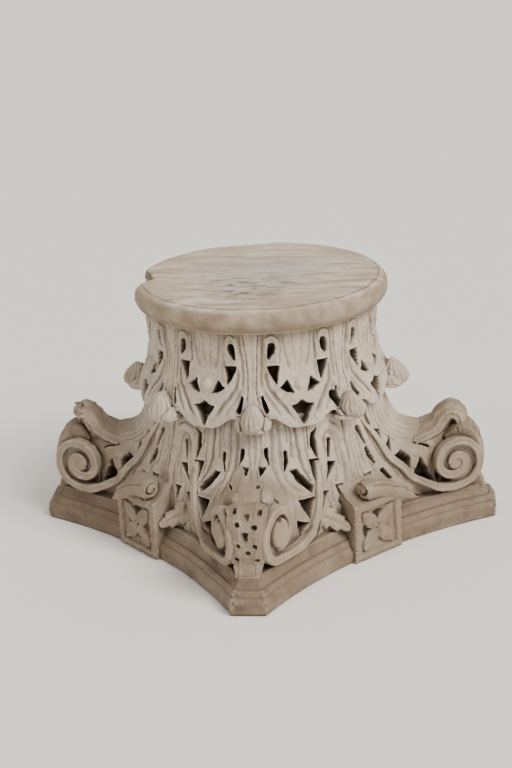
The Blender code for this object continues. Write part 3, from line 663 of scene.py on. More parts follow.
TIP_LOBES = (
    (0.177, 0.0, 0.2095, 0.0205, 0.015, 0.0185, 15, 0.06),
    (0.172, 0.0172, 0.2015, 0.0155, 0.0066, 0.008, 8, 0.05),
    (0.172, -0.0172, 0.2015, 0.0155, 0.0066, 0.008, 8, 0.05),
    (0.1705, 0.0, 0.1965, 0.0205, 0.0235, 0.007, 12, 0.03),
)
TIP_SIZES = (1.0, 0.96, 1.04, 0.98, 1.02, 1.0, 0.97, 1.05)
BACK_TIPS = (3, 4, 5)

# Leaf and lobe of the broken ear, and the share of it that is left

BROKEN_EAR = (1, 2)
EAR_LEFT = 0.45


def make_tip(number):
    """Curled tip of an upper leaf: a ribbed bud between two small ears, on a rolled lip."""
    for part, (out, across, up, deep, wide, high, count, rib) in enumerate(TIP_LOBES):
        grown = TIP_SIZES[number] * (EAR_LEFT if (number, part) == BROKEN_EAR else 1.0)
        deep, wide, high = deep * grown, wide * grown, high * grown
        rows, cols = (44, 56) if part == 0 and number not in BACK_TIPS else (24, 32)
        level = np.linspace(-0.992, 0.992, rows)[:, None]
        turn = around(cols)[None, :]
        shift = level + 0.22 * (1 - level ** 2)
        girth = np.sqrt(1 - shift ** 2 * 0.98) * (1 - 0.26 * smooth(-0.1, 1.0, level))
        ribs = 1 + rib * np.cos(count * turn) * (0.35 + 0.65 * smooth(-1.0, 0.2, level))
        x = out + deep * girth * np.cos(turn) * ribs + 0.004 * smooth(0.1, -1.0, level)
        y = across + wide * girth * np.sin(turn) * ribs
        z = up + high * level + 0 * turn
        placed = facing(-pi / 2 + number * pi / 4, x, y, z)
        placed = roughen(placed, 0.0008, 0.02, 60 + number, np.array([1, 1, 0.5]))
        # Painted shade in the grooves between the ribs.
        ribbed = 0.5 - 0.5 * np.cos(count * turn) * smooth(-1.0, 0.2, level)
        tube(f"leaf_tip_{number}_{part}", placed, 0.34 * ribbed ** 3, radians(70))


# Curled end of a corner leaf: out, up, and shares of its half width and half thickness

HOOK_HALF_WIDTH = 0.022
HOOK_HALF_THICKNESS = 0.013
HOOK_PATH = (
    (0.208, 0.119, 1.75, 0.85),
    (0.236, 0.131, 1.45, 1.0),
    (0.246, 0.1445, 1.2, 1.08),
    (0.2565, 0.1525, 1.05, 1.04),
    (0.267, 0.1465, 1.0, 0.92),
    (0.2685, 0.135, 0.92, 0.68),
    (0.262, 0.125, 0.7, 0.42),
)

# Share of each corner's curl that isn't broken off

HOOK_LEFT = (0.0, 1.0, 1.0, 0.6)


def make_hook(corner):
    """Curled end of a corner leaf; where it is broken it ends in a rough face."""
    left = HOOK_LEFT[corner]
    rows, cols = max(16, int(84 * left)), 64
    share = np.linspace(0, left, rows)
    path = through(HOOK_PATH, share)
    ahead = through(HOOK_PATH, np.clip(share + 0.015, 0, 1))
    behind = through(HOOK_PATH, np.clip(share - 0.015, 0, 1))
    way = unit((ahead - behind)[:, :2])
    turn = around(cols)[None, :]
    ribs = 1.0 + 0.05 * np.cos(9 * turn)
    across = HOOK_HALF_WIDTH * path[:, 2][:, None] * np.cos(turn) * ribs
    out = HOOK_HALF_THICKNESS * path[:, 3][:, None] * np.sin(turn) * ribs
    reach = path[:, 0][:, None] - way[:, 1][:, None] * out
    up = path[:, 1][:, None] + way[:, 0][:, None] * out
    if left < 1:
        rough = smooth(left - 0.2, left, share)[:, None]
        spot = corner_place(corner, reach, across, up)
        reach = reach + rough * 0.006 * wobble(spot, 0.024, 71 + corner)
        up = up + rough * 0.007 * wobble(spot, 0.018, 75 + corner)
    placed = roughen(corner_place(corner, reach, across, up), 0.0007, 0.022, 80 + corner)
    tube(f"corner_leaf_tip_{corner}", placed, np.zeros(placed.shape[:2]))


def face_place(corner, side, along, height, depth):
    """Points on a volute's face plane: along it (outwards), up, and depth behind it."""
    reach = VOLUTE_REACH + along * cos(VOLUTE_TURN) - depth * sin(VOLUTE_TURN)
    across = VOLUTE_OUT - along * sin(VOLUTE_TURN) - depth * cos(VOLUTE_TURN)
    return corner_place(corner, reach, side * across, VOLUTE_Z + height)


# Volute: stem places (degrees, share, lift), then the band's radius and half width each quarter turn

FRONT_STEM = (
    (28.2, 0.66, 0.0), (27.6, 0.57, 0.004), (27.0, 0.48, 0.0055), (26.4, 0.4, 0.0065),
    (25.6, 0.33, 0.007), (24.5, 0.25, 0.0075), (22.9, 0.17, 0.008), (20.9, 0.105, 0.0085),
)
FLANK_STEM = (
    (33.4, 0.86, 0.001), (29.8, 0.775, 0.0045), (26.3, 0.685, 0.006), (24.6, 0.57, 0.0065),
    (23.6, 0.443, 0.007), (21.4, 0.33, 0.0075), (18.9, 0.235, 0.008), (16.6, 0.175, 0.0085),
)
STEM_END = (
    ((0.234, 0.068, 0.0585), (0.244, 0.06, 0.054)),
    ((0.238, 0.0655, 0.062), (0.248, 0.056, 0.0565)),
)
SPIRAL = (
    (0.0358, 0.0056), (0.0364, 0.0056), (0.0308, 0.0056), (0.0248, 0.0058),
    (0.0168, 0.0064), (0.0142, 0.0062), (0.011, 0.0052), (0.0072, 0.0038), (0.005, 0.0026),
)
BAND_QUARTERS = (4.1, 6.9)
BAND_CROWN = 0.0004
BAND_GROOVE = 0.0013
BAND_EDGE = 0.0022
BAND_BACK = [(0.98, -0.006), (0.85, -0.013), (0.0, -0.014), (-0.85, -0.013), (-0.98, -0.006)]
EYE_RADIUS = (0.019, 0.0098, 0.0098, 0.0098)
EYE_DOME = 0.34
EYE_SEAT = 0.005
EYE_BACK = 0.014
EYE_DRILL = 0.01
HAND = {-1: "left", 1: "right"}


def make_volute(corner, side):
    """Stem from between the leaves along the abacus, and the band that curls up and in round the eye."""
    turned = np.linspace(0, BAND_QUARTERS[min(corner, 1)], 150)
    spiral = through(SPIRAL, turned / (len(SPIRAL) - 1))
    swing = -pi / 2 + pi / 2 * turned
    centre = face_place(corner, side, spiral[:, 0] * np.cos(swing), spiral[:, 0] * np.sin(swing), 0 * turned)
    knots = []
    for degrees, share, lift in FLANK_STEM if corner else FRONT_STEM:
        turn = radians(degrees) * side
        spot = lower_place(corner, np.array(turn), np.array(share))
        angle = diagonal(corner) + turn
        knots.append(spot + np.array([cos(angle), sin(angle), 0.25]) * lift)
    for reach, across, up in STEM_END[min(corner, 1)]:
        knots.append(corner_place(corner, np.array(reach), np.array(side * across), up))
    knots += [centre[0], centre[9]]
    stem = through(knots, np.linspace(0, (len(knots) - 2) / (len(knots) - 1), 80))[:-1]
    line = np.concatenate([stem, centre])
    join = len(stem)
    grow = mix(0.0022, 0.0054, smooth(0, 30, np.arange(join)))
    half = np.concatenate([grow, spiral[:, 1]])
    for _ in range(40):
        mid = line[join - 22:join + 9]
        line[join - 21:join + 8] = (mid[:-2] + mid[1:-1] * 2 + mid[2:]) / 4
    way = unit(np.gradient(line, axis=0))
    lean = mix(radians(42), pi / 2 - VOLUTE_TURN, smooth(0, join, np.arange(len(line))))
    angle = diagonal(corner) + side * lean
    rise = 0.22 * smooth(join, join - 30, np.arange(len(line)))
    outward = unit(np.stack([np.cos(angle), np.sin(angle), rise], axis=-1))
    broad = unit(np.cross(way, outward))
    section = []
    for level in np.linspace(-1, 1, 11):
        crown = BAND_CROWN * (1 - level * level) - BAND_GROOVE * np.exp(-(level / 0.5) ** 2)
        section.append((level, crown - BAND_EDGE * smooth(0.7, 1.0, abs(level))))
    section += BAND_BACK
    rings = [line + broad * (half[:, None] * level) + outward * lift for level, lift in section]
    rings = roughen(handed(side < 0, np.stack(rings, axis=1))[0], 0.0005, 0.02, 90 + corner)
    tube(f"volute_{corner}_{HAND[side]}", rings, np.zeros(rings.shape[:2]), radians(60))


def make_eye(corner, side):
    """Domed middle of a volute; a plain egg with a drilled hole at its top on the front corner."""
    rows, cols = 26, 56
    share = np.linspace(0, 1, rows)[:, None]
    turn = around(cols)[None, :]
    rest = 1 - 0.999 * share
    size = EYE_RADIUS[corner]
    radius = size * np.sqrt(1 - (1 - rest) ** 2)
    lift = size * EYE_DOME * (1 - rest ** 2)
    along = radius * np.cos(turn) + 0 * share
    height = radius * np.sin(turn) * 1.04
    depth = EYE_SEAT - lift
    shade_and_dirt = np.zeros(along.shape)
    if corner == 0:
        # Painted shade in the drilled hole at the top of the front egg.
        drill = np.hypot(along - 0.002, height - size + 0.0012)
        shade_and_dirt = smooth(0.003, 0.0018, drill)
        depth = depth + EYE_DRILL * shade_and_dirt
    depth = depth + 0 * along
    depth[0] = EYE_BACK
    placed, shade_and_dirt = handed(side > 0, face_place(corner, side, along, height, depth), shade_and_dirt)
    tube(f"volute_eye_{corner}_{HAND[side]}", placed, shade_and_dirt)


DRUM_ANGLES = (-90, -60, -30, 0, 45, 90, 135, 180, 215, 245, 260, 270)
DRUM_RADII = (0.0375, 0.0385, 0.038, 0.037, 0.0345, 0.031, 0.0265, 0.0225, 0.018, 0.018, 0.028, 0.0375)


def make_drum(corner):
    """Mass between a corner's two volutes, with light painted shade; its ends are the floors of their
    channels, with deep painted shade.
    """
    cols = 96
    turn = np.linspace(-pi / 2, 3 * pi / 2, cols, endpoint=False)
    radius = np.interp(np.degrees(turn), DRUM_ANGLES, DRUM_RADII)
    along, height = radius * np.cos(turn), radius * np.sin(turn)
    rings = []
    for side, depth in ((-1, 0.0085), (-1, 0.018), (-1, 0.031), (1, 0.031), (1, 0.018), (1, 0.0085)):
        rings.append(face_place(corner, side, along, height, np.full(cols, depth)))
    # Light painted shade over the mass, deep painted shade at its ends.
    shade_and_dirt = np.full((len(rings), cols), 0.1)
    shade_and_dirt[[0, -1]] = 0.6
    tube(f"volute_core_{corner}", np.array(rings)[:, ::-1], shade_and_dirt, radians(40))


# Spine between twin volutes, out and up: its top on the front corner and on the others, then the rest

SPINE_TOPS = (
    ((0.256, 0.123), (0.269, 0.1325), (0.2825, 0.132), (0.2935, 0.1215)),
    ((0.246, 0.126), (0.264, 0.1385), (0.2805, 0.136), (0.293, 0.1225)),
)
SPINE_PATH = (
    (0.299, 0.106), (0.3015, 0.09), (0.3, 0.074), (0.2965, 0.062), (0.299, 0.052), (0.3005, 0.0445),
)
SPINE_HALF = (0.027, 0.027, 0.0262, 0.025, 0.0243, 0.0238, 0.0232, 0.02, 0.0168, 0.0166)
SPINE_THICKNESS = 0.024
SPINE_STAIN = 0.4

# Drilled holes: across, height, radius and depth, in millimetres

SPINE_HOLES = (
    (-15.0, 129.0, 2.6, 8), (16.5, 128.0, 2.5, 8), (-0.2, 123.0, 3.4, 5), (-11.8, 114.4, 2.9, 8),
    (9.3, 111.1, 3.1, 8), (-2.0, 102.5, 3.4, 8), (-1.6, 98.0, 3.2, 8), (-11.0, 87.6, 2.6, 6),
    (9.8, 86.6, 2.9, 8), (0.5, 77.1, 3.1, 6), (-13.5, 67.9, 2.7, 8), (11.8, 67.7, 2.8, 8),
)


def make_spine(corner):
    """Strip between the twin volutes, with two low ridges, drilled holes and a narrower foot."""
    rows, cols = (150, 72) if corner == 0 else (96, 44)
    share = np.linspace(0, 1, rows)
    spot = through(SPINE_TOPS[min(corner, 1)] + SPINE_PATH, share)
    half = through(np.array(SPINE_HALF)[:, None], share)[:, 0]
    across = np.linspace(-1, 1, cols)[None, :]
    wide = half[:, None] * across
    ridge = 0.0011 * np.exp(-((np.abs(wide) - 0.0108) / 0.0016) ** 2)
    lift = ridge - 0.0032 * smooth(0.55, 1.0, np.abs(across)) * smooth(0.8, 0.7, share)[:, None]
    ahead = unit(np.gradient(spot, axis=0))
    out_r, out_z = -ahead[:, 1][:, None], ahead[:, 0][:, None]
    pits = np.zeros((rows, cols))
    for place, level, size, deep in SPINE_HOLES:
        gap = np.hypot(wide * 1000 - place, spot[:, 1][:, None] * 1000 - level + 40 * (share[:, None] < 0.09))
        pits = np.maximum(pits, smooth(size + 0.7, size - 1.0, gap) * deep / 8)
        lift = lift + 0.0006 * np.exp(-((gap - size - 1.0) / 0.9) ** 2)
    lift = lift - pits * 0.008
    reach = spot[:, 0][:, None] + out_r * lift
    up = spot[:, 1][:, None] + out_z * lift
    front = roughen(corner_place(corner, reach, wide, up), 0.0009, 0.02, 100 + corner)
    back_out = spot[:, 0] + SPINE_THICKNESS * ahead[:, 1]
    back_up = spot[:, 1] - SPINE_THICKNESS * ahead[:, 0]
    across = (1.0, 0.5, 0.0, -0.5, -1.0)
    back = np.stack([corner_place(corner, back_out, half * a * 0.92, back_up) for a in across], axis=1)
    rings = np.concatenate([front, back], axis=1)
    # Painted shade in the drilled holes.
    shade_and_dirt = np.concatenate([pits * 0.9, np.zeros((rows, len(across)))], axis=1)
    tube(f"corner_spine_{corner}", rings, shade_and_dirt, radians(55), SPINE_STAIN)


ARRIS_DEGREES = 4.2
ABACUS_STAIN = 1.0


def make_abacus():
    """Hollow-sided slab with cut corners: bulging band, bead, step and a hollow upper face."""
    cols = 4 * 190
    turns = []
    for corner in range(4):
        even = np.linspace(0, 1, cols // 4, endpoint=False)
        turns.append(corner * pi / 2 + pi / 2 * (even - 0.062 * np.sin(2 * pi * even)))
    turn = np.concatenate(turns)
    folded = (turn + pi / 4) % (pi / 2) - pi / 4
    levels = [(0.003, 0.0), (0.001, 0.0012), (0.0003, 0.0035)]
    for step in np.linspace(0.12, 1, 12):
        levels.append((0.0003 + 0.003 * max(0.0, step - 0.72) ** 1.3 * 6, BAND_TOP * step))
    for step in np.linspace(0.1, 1, 9):
        levels.append((mix(0.0042, BEAD_INSET, step ** 1.6), mix(BAND_TOP + 0.0004, BEAD_TOP - 0.0008, step)))
    levels += [(BEAD_INSET + 0.0002, BEAD_TOP), (BEAD_INSET + 0.0022, BEAD_TOP + 0.0004)]
    for step in np.linspace(0.08, 1, 10):
        hollow = 0.0016 * sin(pi * step)
        inset = mix(BEAD_INSET + 0.0024, TOP_INSET - 0.0008, step) + hollow
        levels.append((inset, mix(BEAD_TOP, ABACUS_TOP - 0.001, step)))
    levels += [(TOP_INSET + 0.0002, ABACUS_TOP - 0.0002), (TOP_INSET + 0.0016, ABACUS_TOP)]
    rings = np.array([polar(outline(folded, inset), turn - pi / 2, height) for inset, height in levels])
    broad_wear = np.maximum(0, wobble(rings, 0.055, 110)) * 0.0012
    wear = broad_wear + np.maximum(0, wobble(rings, 0.016, 111)) * 0.0006
    at_arris = bump(np.degrees(np.abs(folded)), ARRIS_DEGREES, 1.5)[None, :]
    arris = at_arris * np.maximum(0, wobble(rings, 0.02, 112)) * 0.004
    radius = np.hypot(rings[..., 0], rings[..., 1])
    shrink = 1 - (wear * smooth(0.0, 0.004, rings[..., 2]) + arris) / radius
    rings[..., :2] *= shrink[..., None]
    level = np.array(levels)[:, 1][:, None]
    # Painted shade in the grooves along the top of the band and the top of the bead.
    shade_and_dirt = 0.42 * bump(level, BAND_TOP + 0.0006, 0.0011) + 0.36 * bump(level, BEAD_TOP + 0.0006, 0.001)
    tube("abacus_skin", rings, shade_and_dirt + 0 * turn, radians(40), ABACUS_STAIN)


def side_place(side, out, along, up):
    """Points given outwards from the middle of a side, along it (anticlockwise) and upwards."""
    return facing(-pi / 4 + side * pi / 2, out, along, up)


BLOCK_COUNTS = ((96, 8), (60, 6), (60, 6), (96, 8))
BLOCK_STILE = 8.0
BLOCK_SLOPE = 4.5
BLOCK_RECESS = 5.0
BLOCK_STAIN = 0.45
BLOCK_RISE = 0.026
PETAL_LENGTH = 39.0
PETAL_HALF = 10.2
PETAL_LIFT = 2.6
PETAL_DOME = 1.9
BUTTON_LIFT = 5.6

# Gaps between the petals, carved in and painted dark as shadow by their depth: direction in degrees and depth
# in millimetres

EVEN_GAPS = ((90, 3.0), (180, 3.0), (0, 3.0), (-90, 3.0))
PETAL_GAPS = (
    ((90, 5.5), (180, 4.5), (0, 1.5), (-90, 1.0)), EVEN_GAPS,
    EVEN_GAPS, ((90, 5.5), (180, 3.0), (0, 2.5), (-90, 1.5)),
)
BUTTON_HOLES = ((0.0, 4.6), (3.6, 0.4), (-3.4, 1.0), (0.6, -4.4))
SIDEWAYS = np.array([1, 1, 0])


def make_block(side):
    """Rosette block: wide frame, shallow panel with four lens-shaped petals and a drilled button."""
    count, back_steps = BLOCK_COUNTS[side]
    a = np.linspace(-1, 1, count)
    across, rise = np.meshgrid(a, np.linspace(0, 1, count))
    half = BLOCK_HALF
    x = across * half * 1000
    y = (rise - 0.5) * BLOCK_TOP * 1000
    edge = np.minimum(half * 1000 - np.abs(x), BLOCK_TOP * 500 - np.abs(y))
    face = -BLOCK_RECESS * smooth(BLOCK_STILE, BLOCK_STILE + BLOCK_SLOPE, edge)
    radius = np.hypot(x, y)
    turn = np.arctan2(y, x)
    folded = np.abs((turn + pi / 2) % (pi / 2) - pi / 4)
    off_axis = radius * np.sin(folded)
    width = PETAL_HALF * np.sin(np.clip(radius / PETAL_LENGTH, 0, 1) * pi) ** 0.8
    petal = smooth(0.9, -0.9, off_axis - width) * smooth(PETAL_LENGTH + 0.5, PETAL_LENGTH - 3, radius)
    domed = np.clip(1 - (off_axis / np.maximum(width, 0.5)) ** 2, 0, 1)
    petals = petal * (PETAL_LIFT + PETAL_DOME * domed)
    gaps = np.zeros(x.shape)
    for degrees, deep in PETAL_GAPS[side]:
        off = np.abs((turn - radians(degrees) + pi) % (2 * pi) - pi)
        run = smooth(7.5, 10.0, radius) * smooth(26.0, 22.0, radius)
        gaps = np.maximum(gaps, deep * run * smooth(0.62, 0.42, off) * (1 - petal))
    button = smooth(6.4, 4.6, radius) * (BUTTON_LIFT - 0.03 * radius ** 2)
    lift = face + np.maximum(petals, button) * smooth(BLOCK_STILE - 1, BLOCK_STILE + 3, edge) - gaps
    hole = np.zeros(x.shape)
    for hx, hy in BUTTON_HOLES:
        hole = np.maximum(hole, smooth(1.7, 0.8, np.hypot(x - hx, y - hy)))
    lift = lift - 2.2 * hole
    front = side_place(side, BLOCK_FACE + 0 * x, BLOCK_SHIFT[side] + across * half, rise * BLOCK_TOP)
    worn = np.clip(wobble(front, 0.022, 118 + side), 0, 1)
    lift = lift - (1.4 + 2.6 * worn) * (1 - smooth(0.0, 4.0, edge)) ** 2
    out = BLOCK_FACE + lift / 1000 - 0.0006
    front = side_place(side, out, BLOCK_SHIFT[side] + across * half, rise * BLOCK_TOP)
    front = roughen(front, 0.0008, 0.02, 120 + side, SIDEWAYS)
    front[..., 2] = np.clip(front[..., 2], 0.0004, None)
    # Painted shade along the petals' edges in the panel and in the button's drilled holes, and painted shadow
    # in the gaps between the petals.
    near = smooth(3.0, 0.0, np.abs(off_axis - width)) * smooth(38.0, 32.0, radius) * (1 - petal)
    shade_and_dirt = np.clip(np.maximum(0.3 * near * smooth(BLOCK_STILE, BLOCK_STILE + 3, edge), 0.75 * hole), 0, 1)
    shade_and_dirt = np.maximum(shade_and_dirt, np.clip(gaps / 5.5, 0, 1) * 0.85)
    order = [(0, i) for i in range(count)] + [(i, count - 1) for i in range(1, count)]
    order += [(count - 1, i) for i in range(count - 2, -1, -1)] + [(i, 0) for i in range(count - 2, 0, -1)]
    local = np.array([(across[r, c] * half, rise[r, c]) for r, c in order])
    verts = [front.reshape(-1, 3)]
    faces = grid_faces(count, count, False)
    base_index = count * count
    ring_before = [r * count + c for r, c in order]
    for step in range(1, back_steps + 1):
        t = step / back_steps
        wide = local[:, 0] * (1 - 0.18 * t * local[:, 1])
        top = np.maximum((BLOCK_TOP + BLOCK_RISE * t ** 1.2) * local[:, 1], 0.0005)
        out = np.full(len(local), mix(BLOCK_FACE - 0.0024, BLOCK_BACK - 0.004, t))
        placed = side_place(side, out, BLOCK_SHIFT[side] + wide, top)
        verts.append(roughen(placed, 0.0008, 0.025, 124 + side, SIDEWAYS))
        ring_now = list(range(base_index, base_index + len(order)))
        for i in range(len(order)):
            j = (i + 1) % len(order)
            faces.append([ring_before[j], ring_before[i], ring_now[i], ring_now[j]])
        ring_before = ring_now
        base_index += len(order)
    faces.append(ring_before[::-1])
    verts = np.vstack(verts)
    full = np.zeros(len(verts))
    full[:count * count] = shade_and_dirt.reshape(-1)
    new_piece(f"rosette_block_{side}", verts, faces, full, radians(48), BLOCK_STAIN)


# Roll over each block: its curled end looks to the front or the back corner

SCROLL_HAND = (-1, 1, -1, 1)
SCROLL_START = (0.0235, 0.0235, 0.0235, 0.033)
SCROLL_REACH = (0.093, 0.093, 0.084, 0.084)
SCROLL_STAIN = 0.25

# Line of the roll from its curl to its pointed end: share, out, up and radius

SCROLL_LINE = (
    (0.0, 0.208, 0.098, 0.0112), (0.14, 0.207, 0.0975, 0.0112), (0.28, 0.2065, 0.095, 0.0112),
    (0.42, 0.2075, 0.091, 0.011), (0.56, 0.2095, 0.086, 0.0104), (0.7, 0.212, 0.08, 0.0088),
    (0.85, 0.2145, 0.0715, 0.0058), (1.0, 0.216, 0.0625, 0.0008),
)


def make_scroll(side):
    """Roll over a block: a comma-shaped groove in its curled end, and a pointed leaf as its other end."""
    hand = SCROLL_HAND[side]
    turn = around(64)
    fold = bump(turn, 0.62, 0.2)
    rows = []
    shade_and_dirt = []
    # Painted shade in the comma-shaped groove of the curl and in the channel along the roll.
    for size in np.linspace(0.04, 0.93, 17):
        swirl = (turn + 2 * pi * (1 - size) * 1.15) % (2 * pi)
        groove = bump(swirl, 2.4, 0.8) * smooth(0.2, 0.34, size) * smooth(0.93, 0.84, size)
        rows.append((size, 0.001 * size ** 2 + 0.006 * groove, 0.0))
        shade_and_dirt.append(0.95 * groove)
    for share in np.linspace(0.0, 1.0, 34):
        rows.append((1.0, 0.0016, share))
        shade_and_dirt.append(0.4 * fold * smooth(0.05, 0.2, share) * smooth(1.0, 0.8, share))
    rings = []
    for size, inward, share in rows:
        out, up, radius = through(np.array(SCROLL_LINE)[:, 1:], np.array(share))
        channel = 0.16 * fold * smooth(0.05, 0.2, share) * smooth(1.0, 0.8, share)
        radius = radius * size * (1 + 0.05 * np.cos(2 * turn) * smooth(0.0, 0.3, share) - channel)
        under = np.where(np.sin(turn) < 0, mix(1.0, 1.5, smooth(0.0, 0.1, share)), 1.0)
        behind = np.where(np.cos(turn) < 0, mix(1.0, 1.9, smooth(0.02, 0.2, share)), 1.0)
        along = BLOCK_SHIFT[side] + hand * (SCROLL_START[side] - inward - SCROLL_REACH[side] * share)
        out = out + radius * behind * np.cos(turn)
        rings.append(side_place(side, out, along + 0 * turn, up + radius * under * np.sin(turn)))
    placed = roughen(np.array(rings), 0.0006, 0.018, 140 + side)
    placed, shade_and_dirt = handed(hand > 0, placed, np.array(shade_and_dirt))
    tube(f"scroll_{side}", placed, shade_and_dirt, radians(55), SCROLL_STAIN)


# Toothed lobe against a block's near side: out, along from the block's edge, up, half width, half thickness

BLOCK_LOBE = (
    (0.178, 0.03, 0.07, 0.013, 0.004), (0.1855, 0.021, 0.065, 0.0124, 0.004),
    (0.193, 0.0125, 0.059, 0.0106, 0.0036), (0.2, 0.006, 0.0535, 0.0078, 0.003),
    (0.2068, 0.0015, 0.049, 0.0026, 0.0016),
)
LOBE_TEETH = 3


def make_block_lobe(side):
    """Lobe of a leaf that lies against a block, keeled, with teeth along its edges."""
    hand = SCROLL_HAND[side]
    share = np.linspace(0, 1, 37)
    path = through(BLOCK_LOBE, share)
    path[:, 3] *= mix(0.8, 1.28, (share * LOBE_TEETH) % 1.0)
    turn = around(28)
    line = path[:, [1, 0, 2]]
    ahead = unit(np.gradient(line, axis=0))
    broad = unit(np.cross(ahead, np.array([0.35, 0.85, 0.4])))
    lift = np.cross(broad, ahead)
    outer = np.sin(turn) > 0
    keel = np.sin(turn) * (1 - 0.35 * bump(np.cos(turn), 0.0, 0.28) * outer)
    crown = np.cos(turn)[None, :, None] * path[:, 3][:, None, None] * broad[:, None, :]
    placed = line[:, None, :] + crown + keel[None, :, None] * path[:, 4][:, None, None] * lift[:, None, :]
    along = BLOCK_SHIFT[side] + hand * (BLOCK_HALF + placed[..., 0])
    rings = roughen(side_place(side, placed[..., 1], along, placed[..., 2]), 0.0005, 0.02, 150 + side)
    # Painted shade in the groove along the middle of the lobe's outer face.
    shade_and_dirt = np.tile(0.3 * bump(np.cos(turn), 0.0, 0.16) * outer, (len(path), 1))
    rings, shade_and_dirt = handed(hand > 0, rings, shade_and_dirt)
    tube(f"block_lobe_{side}", rings, shade_and_dirt, radians(60))


# Astragal's notch: direction, half spread, depth, slopes of its far and near sides, darkening; then its wear

NOTCH_TURN = radians(-83)
NOTCH_SPREAD = radians(34)
NOTCH_DEPTH = 0.032
NOTCH_FAR = 0.26
NOTCH_NEAR = 1.3
NOTCH_DARKENING = 0.25
BACK_WEAR = 0.007
EDGE_WEAR = 0.0012
HOLLOW_DEPTH = 0.0012


def make_astragal():
    """Thick disc with a round edge and a worn, streaked flat top, a piece broken out of its edge."""
    cols = 430
    angle = around(cols)
    turn = (angle + pi / 2 + pi) % (2 * pi) - pi
    profile = []
    half = (TOP_Z - ASTRAGAL_Z) / 2
    for step in np.linspace(0, 1, 10):
        profile.append((mix(0.02, 0.15, step), ASTRAGAL_Z))
    for step in np.linspace(-0.94, 1.0, 34):
        t = step * pi / 2
        reach = FLAT_R - 0.004 + (ASTRAGAL_R - FLAT_R + 0.003) * cos(t) ** 0.95
        profile.append((reach, ASTRAGAL_Z + half + half * sin(t)))
    for radius in np.linspace(FLAT_R - 0.006, 0.004, 42):
        profile.append((radius, TOP_Z))
    profile = np.array(profile)
    radius = np.repeat(profile[:, 0][:, None], cols, axis=1)
    height = np.repeat(profile[:, 1][:, None], cols, axis=1)
    across = radius * np.sin(turn - NOTCH_TURN)
    out = radius * np.cos(turn - NOTCH_TURN)
    spot = polar(radius, angle, height)
    jag = 0.0028 * wobble(spot, 0.03, 131) + 0.0012 * wobble(spot, 0.009, 132)
    side_far = np.clip(-across, 0, None)
    side_near = np.clip(across, 0, None)
    allowed = ASTRAGAL_R - NOTCH_DEPTH + side_far * NOTCH_FAR + side_near * NOTCH_NEAR + jag
    cut = (np.abs(turn - NOTCH_TURN) < NOTCH_SPREAD) & (out > allowed)
    shrink = np.where(cut, allowed / np.maximum(out, 1e-6), 1.0)
    back_wear = BACK_WEAR * bump(turn, radians(-166), radians(13)) * smooth(0.13, 0.17, radius)
    new_radius = radius * shrink - back_wear
    hollows = np.clip(-wobble(spot * SIDEWAYS, 0.12, 133), 0, 1)
    worn_edge = np.clip(wobble(spot, 0.05, 134), 0, 1) * EDGE_WEAR
    new_radius = new_radius - worn_edge * smooth(0.14, 0.165, radius)
    height = height - HOLLOW_DEPTH * hollows * smooth(TOP_Z - 0.002, TOP_Z, height)
    shade_and_dirt = np.zeros(radius.shape)
    # Darker inside the notch.
    shade_and_dirt[cut] = NOTCH_DARKENING
    tube("astragal_skin", polar(new_radius, angle, height), shade_and_dirt, radians(45))


# Marble

class Shading:
    """A material's nodes, with short names for the kinds that it needs."""

    def __init__(self, name):
        self.material = bpy.data.materials.new(name)
        self.material.use_nodes = True
        self.tree = self.material.node_tree
        self.shader = self.tree.nodes["Principled BSDF"]

    def put(self, value, socket):
        """Links an output to an input, or sets the input to a plain value or colour."""
        if isinstance(value, bpy.types.NodeSocket):
            self.tree.links.new(value, socket)
        else:
            socket.default_value = (*value, 1.0) if socket.type == "RGBA" else value

    def node(self, kind, inputs, **settings):
        node = self.tree.nodes.new(kind)
        for name, value in settings.items():
            setattr(node, name, value)
        for socket, value in inputs.items():
            self.put(value, node.inputs[socket])
        return node

    def noise(self, vector, scale, detail, rough):
        inputs = {"Vector": vector, "Scale": scale, "Detail": detail, "Roughness": rough}
        return self.node("ShaderNodeTexNoise", inputs).outputs["Fac"]

    def spread(self, value, low, high, to_low=0.0, to_high=1.0):
        """Soft step of a value between two limits."""
        inputs = {"Value": value, "From Min": low, "From Max": high, "To Min": to_low, "To Max": to_high}
        return self.node("ShaderNodeMapRange", inputs, interpolation_type="SMOOTHSTEP").outputs["Result"]

    def times(self, a, b):
        return self.node("ShaderNodeMath", {0: a, 1: b}, operation="MULTIPLY").outputs[0]

    def mix(self, share, a, b):
        return self.node("ShaderNodeMix", {0: share, 6: a, 7: b}, data_type="RGBA").outputs[2]

    def upward(self, vector):
        return self.node("ShaderNodeSeparateXYZ", {0: vector}).outputs["Z"]

    def distance(self, vector, centre):
        node = self.node("ShaderNodeVectorMath", {0: vector, 1: centre}, operation="DISTANCE")
        return node.outputs["Value"]

    def attribute(self, name):
        node = self.node("ShaderNodeAttribute", {}, attribute_name=name, attribute_type="GEOMETRY")
        return node.outputs["Fac"]

    def relief(self, height, strength, distance):
        inputs = {"Height": height, "Strength": strength, "Distance": distance}
        return self.node("ShaderNodeBump", inputs)


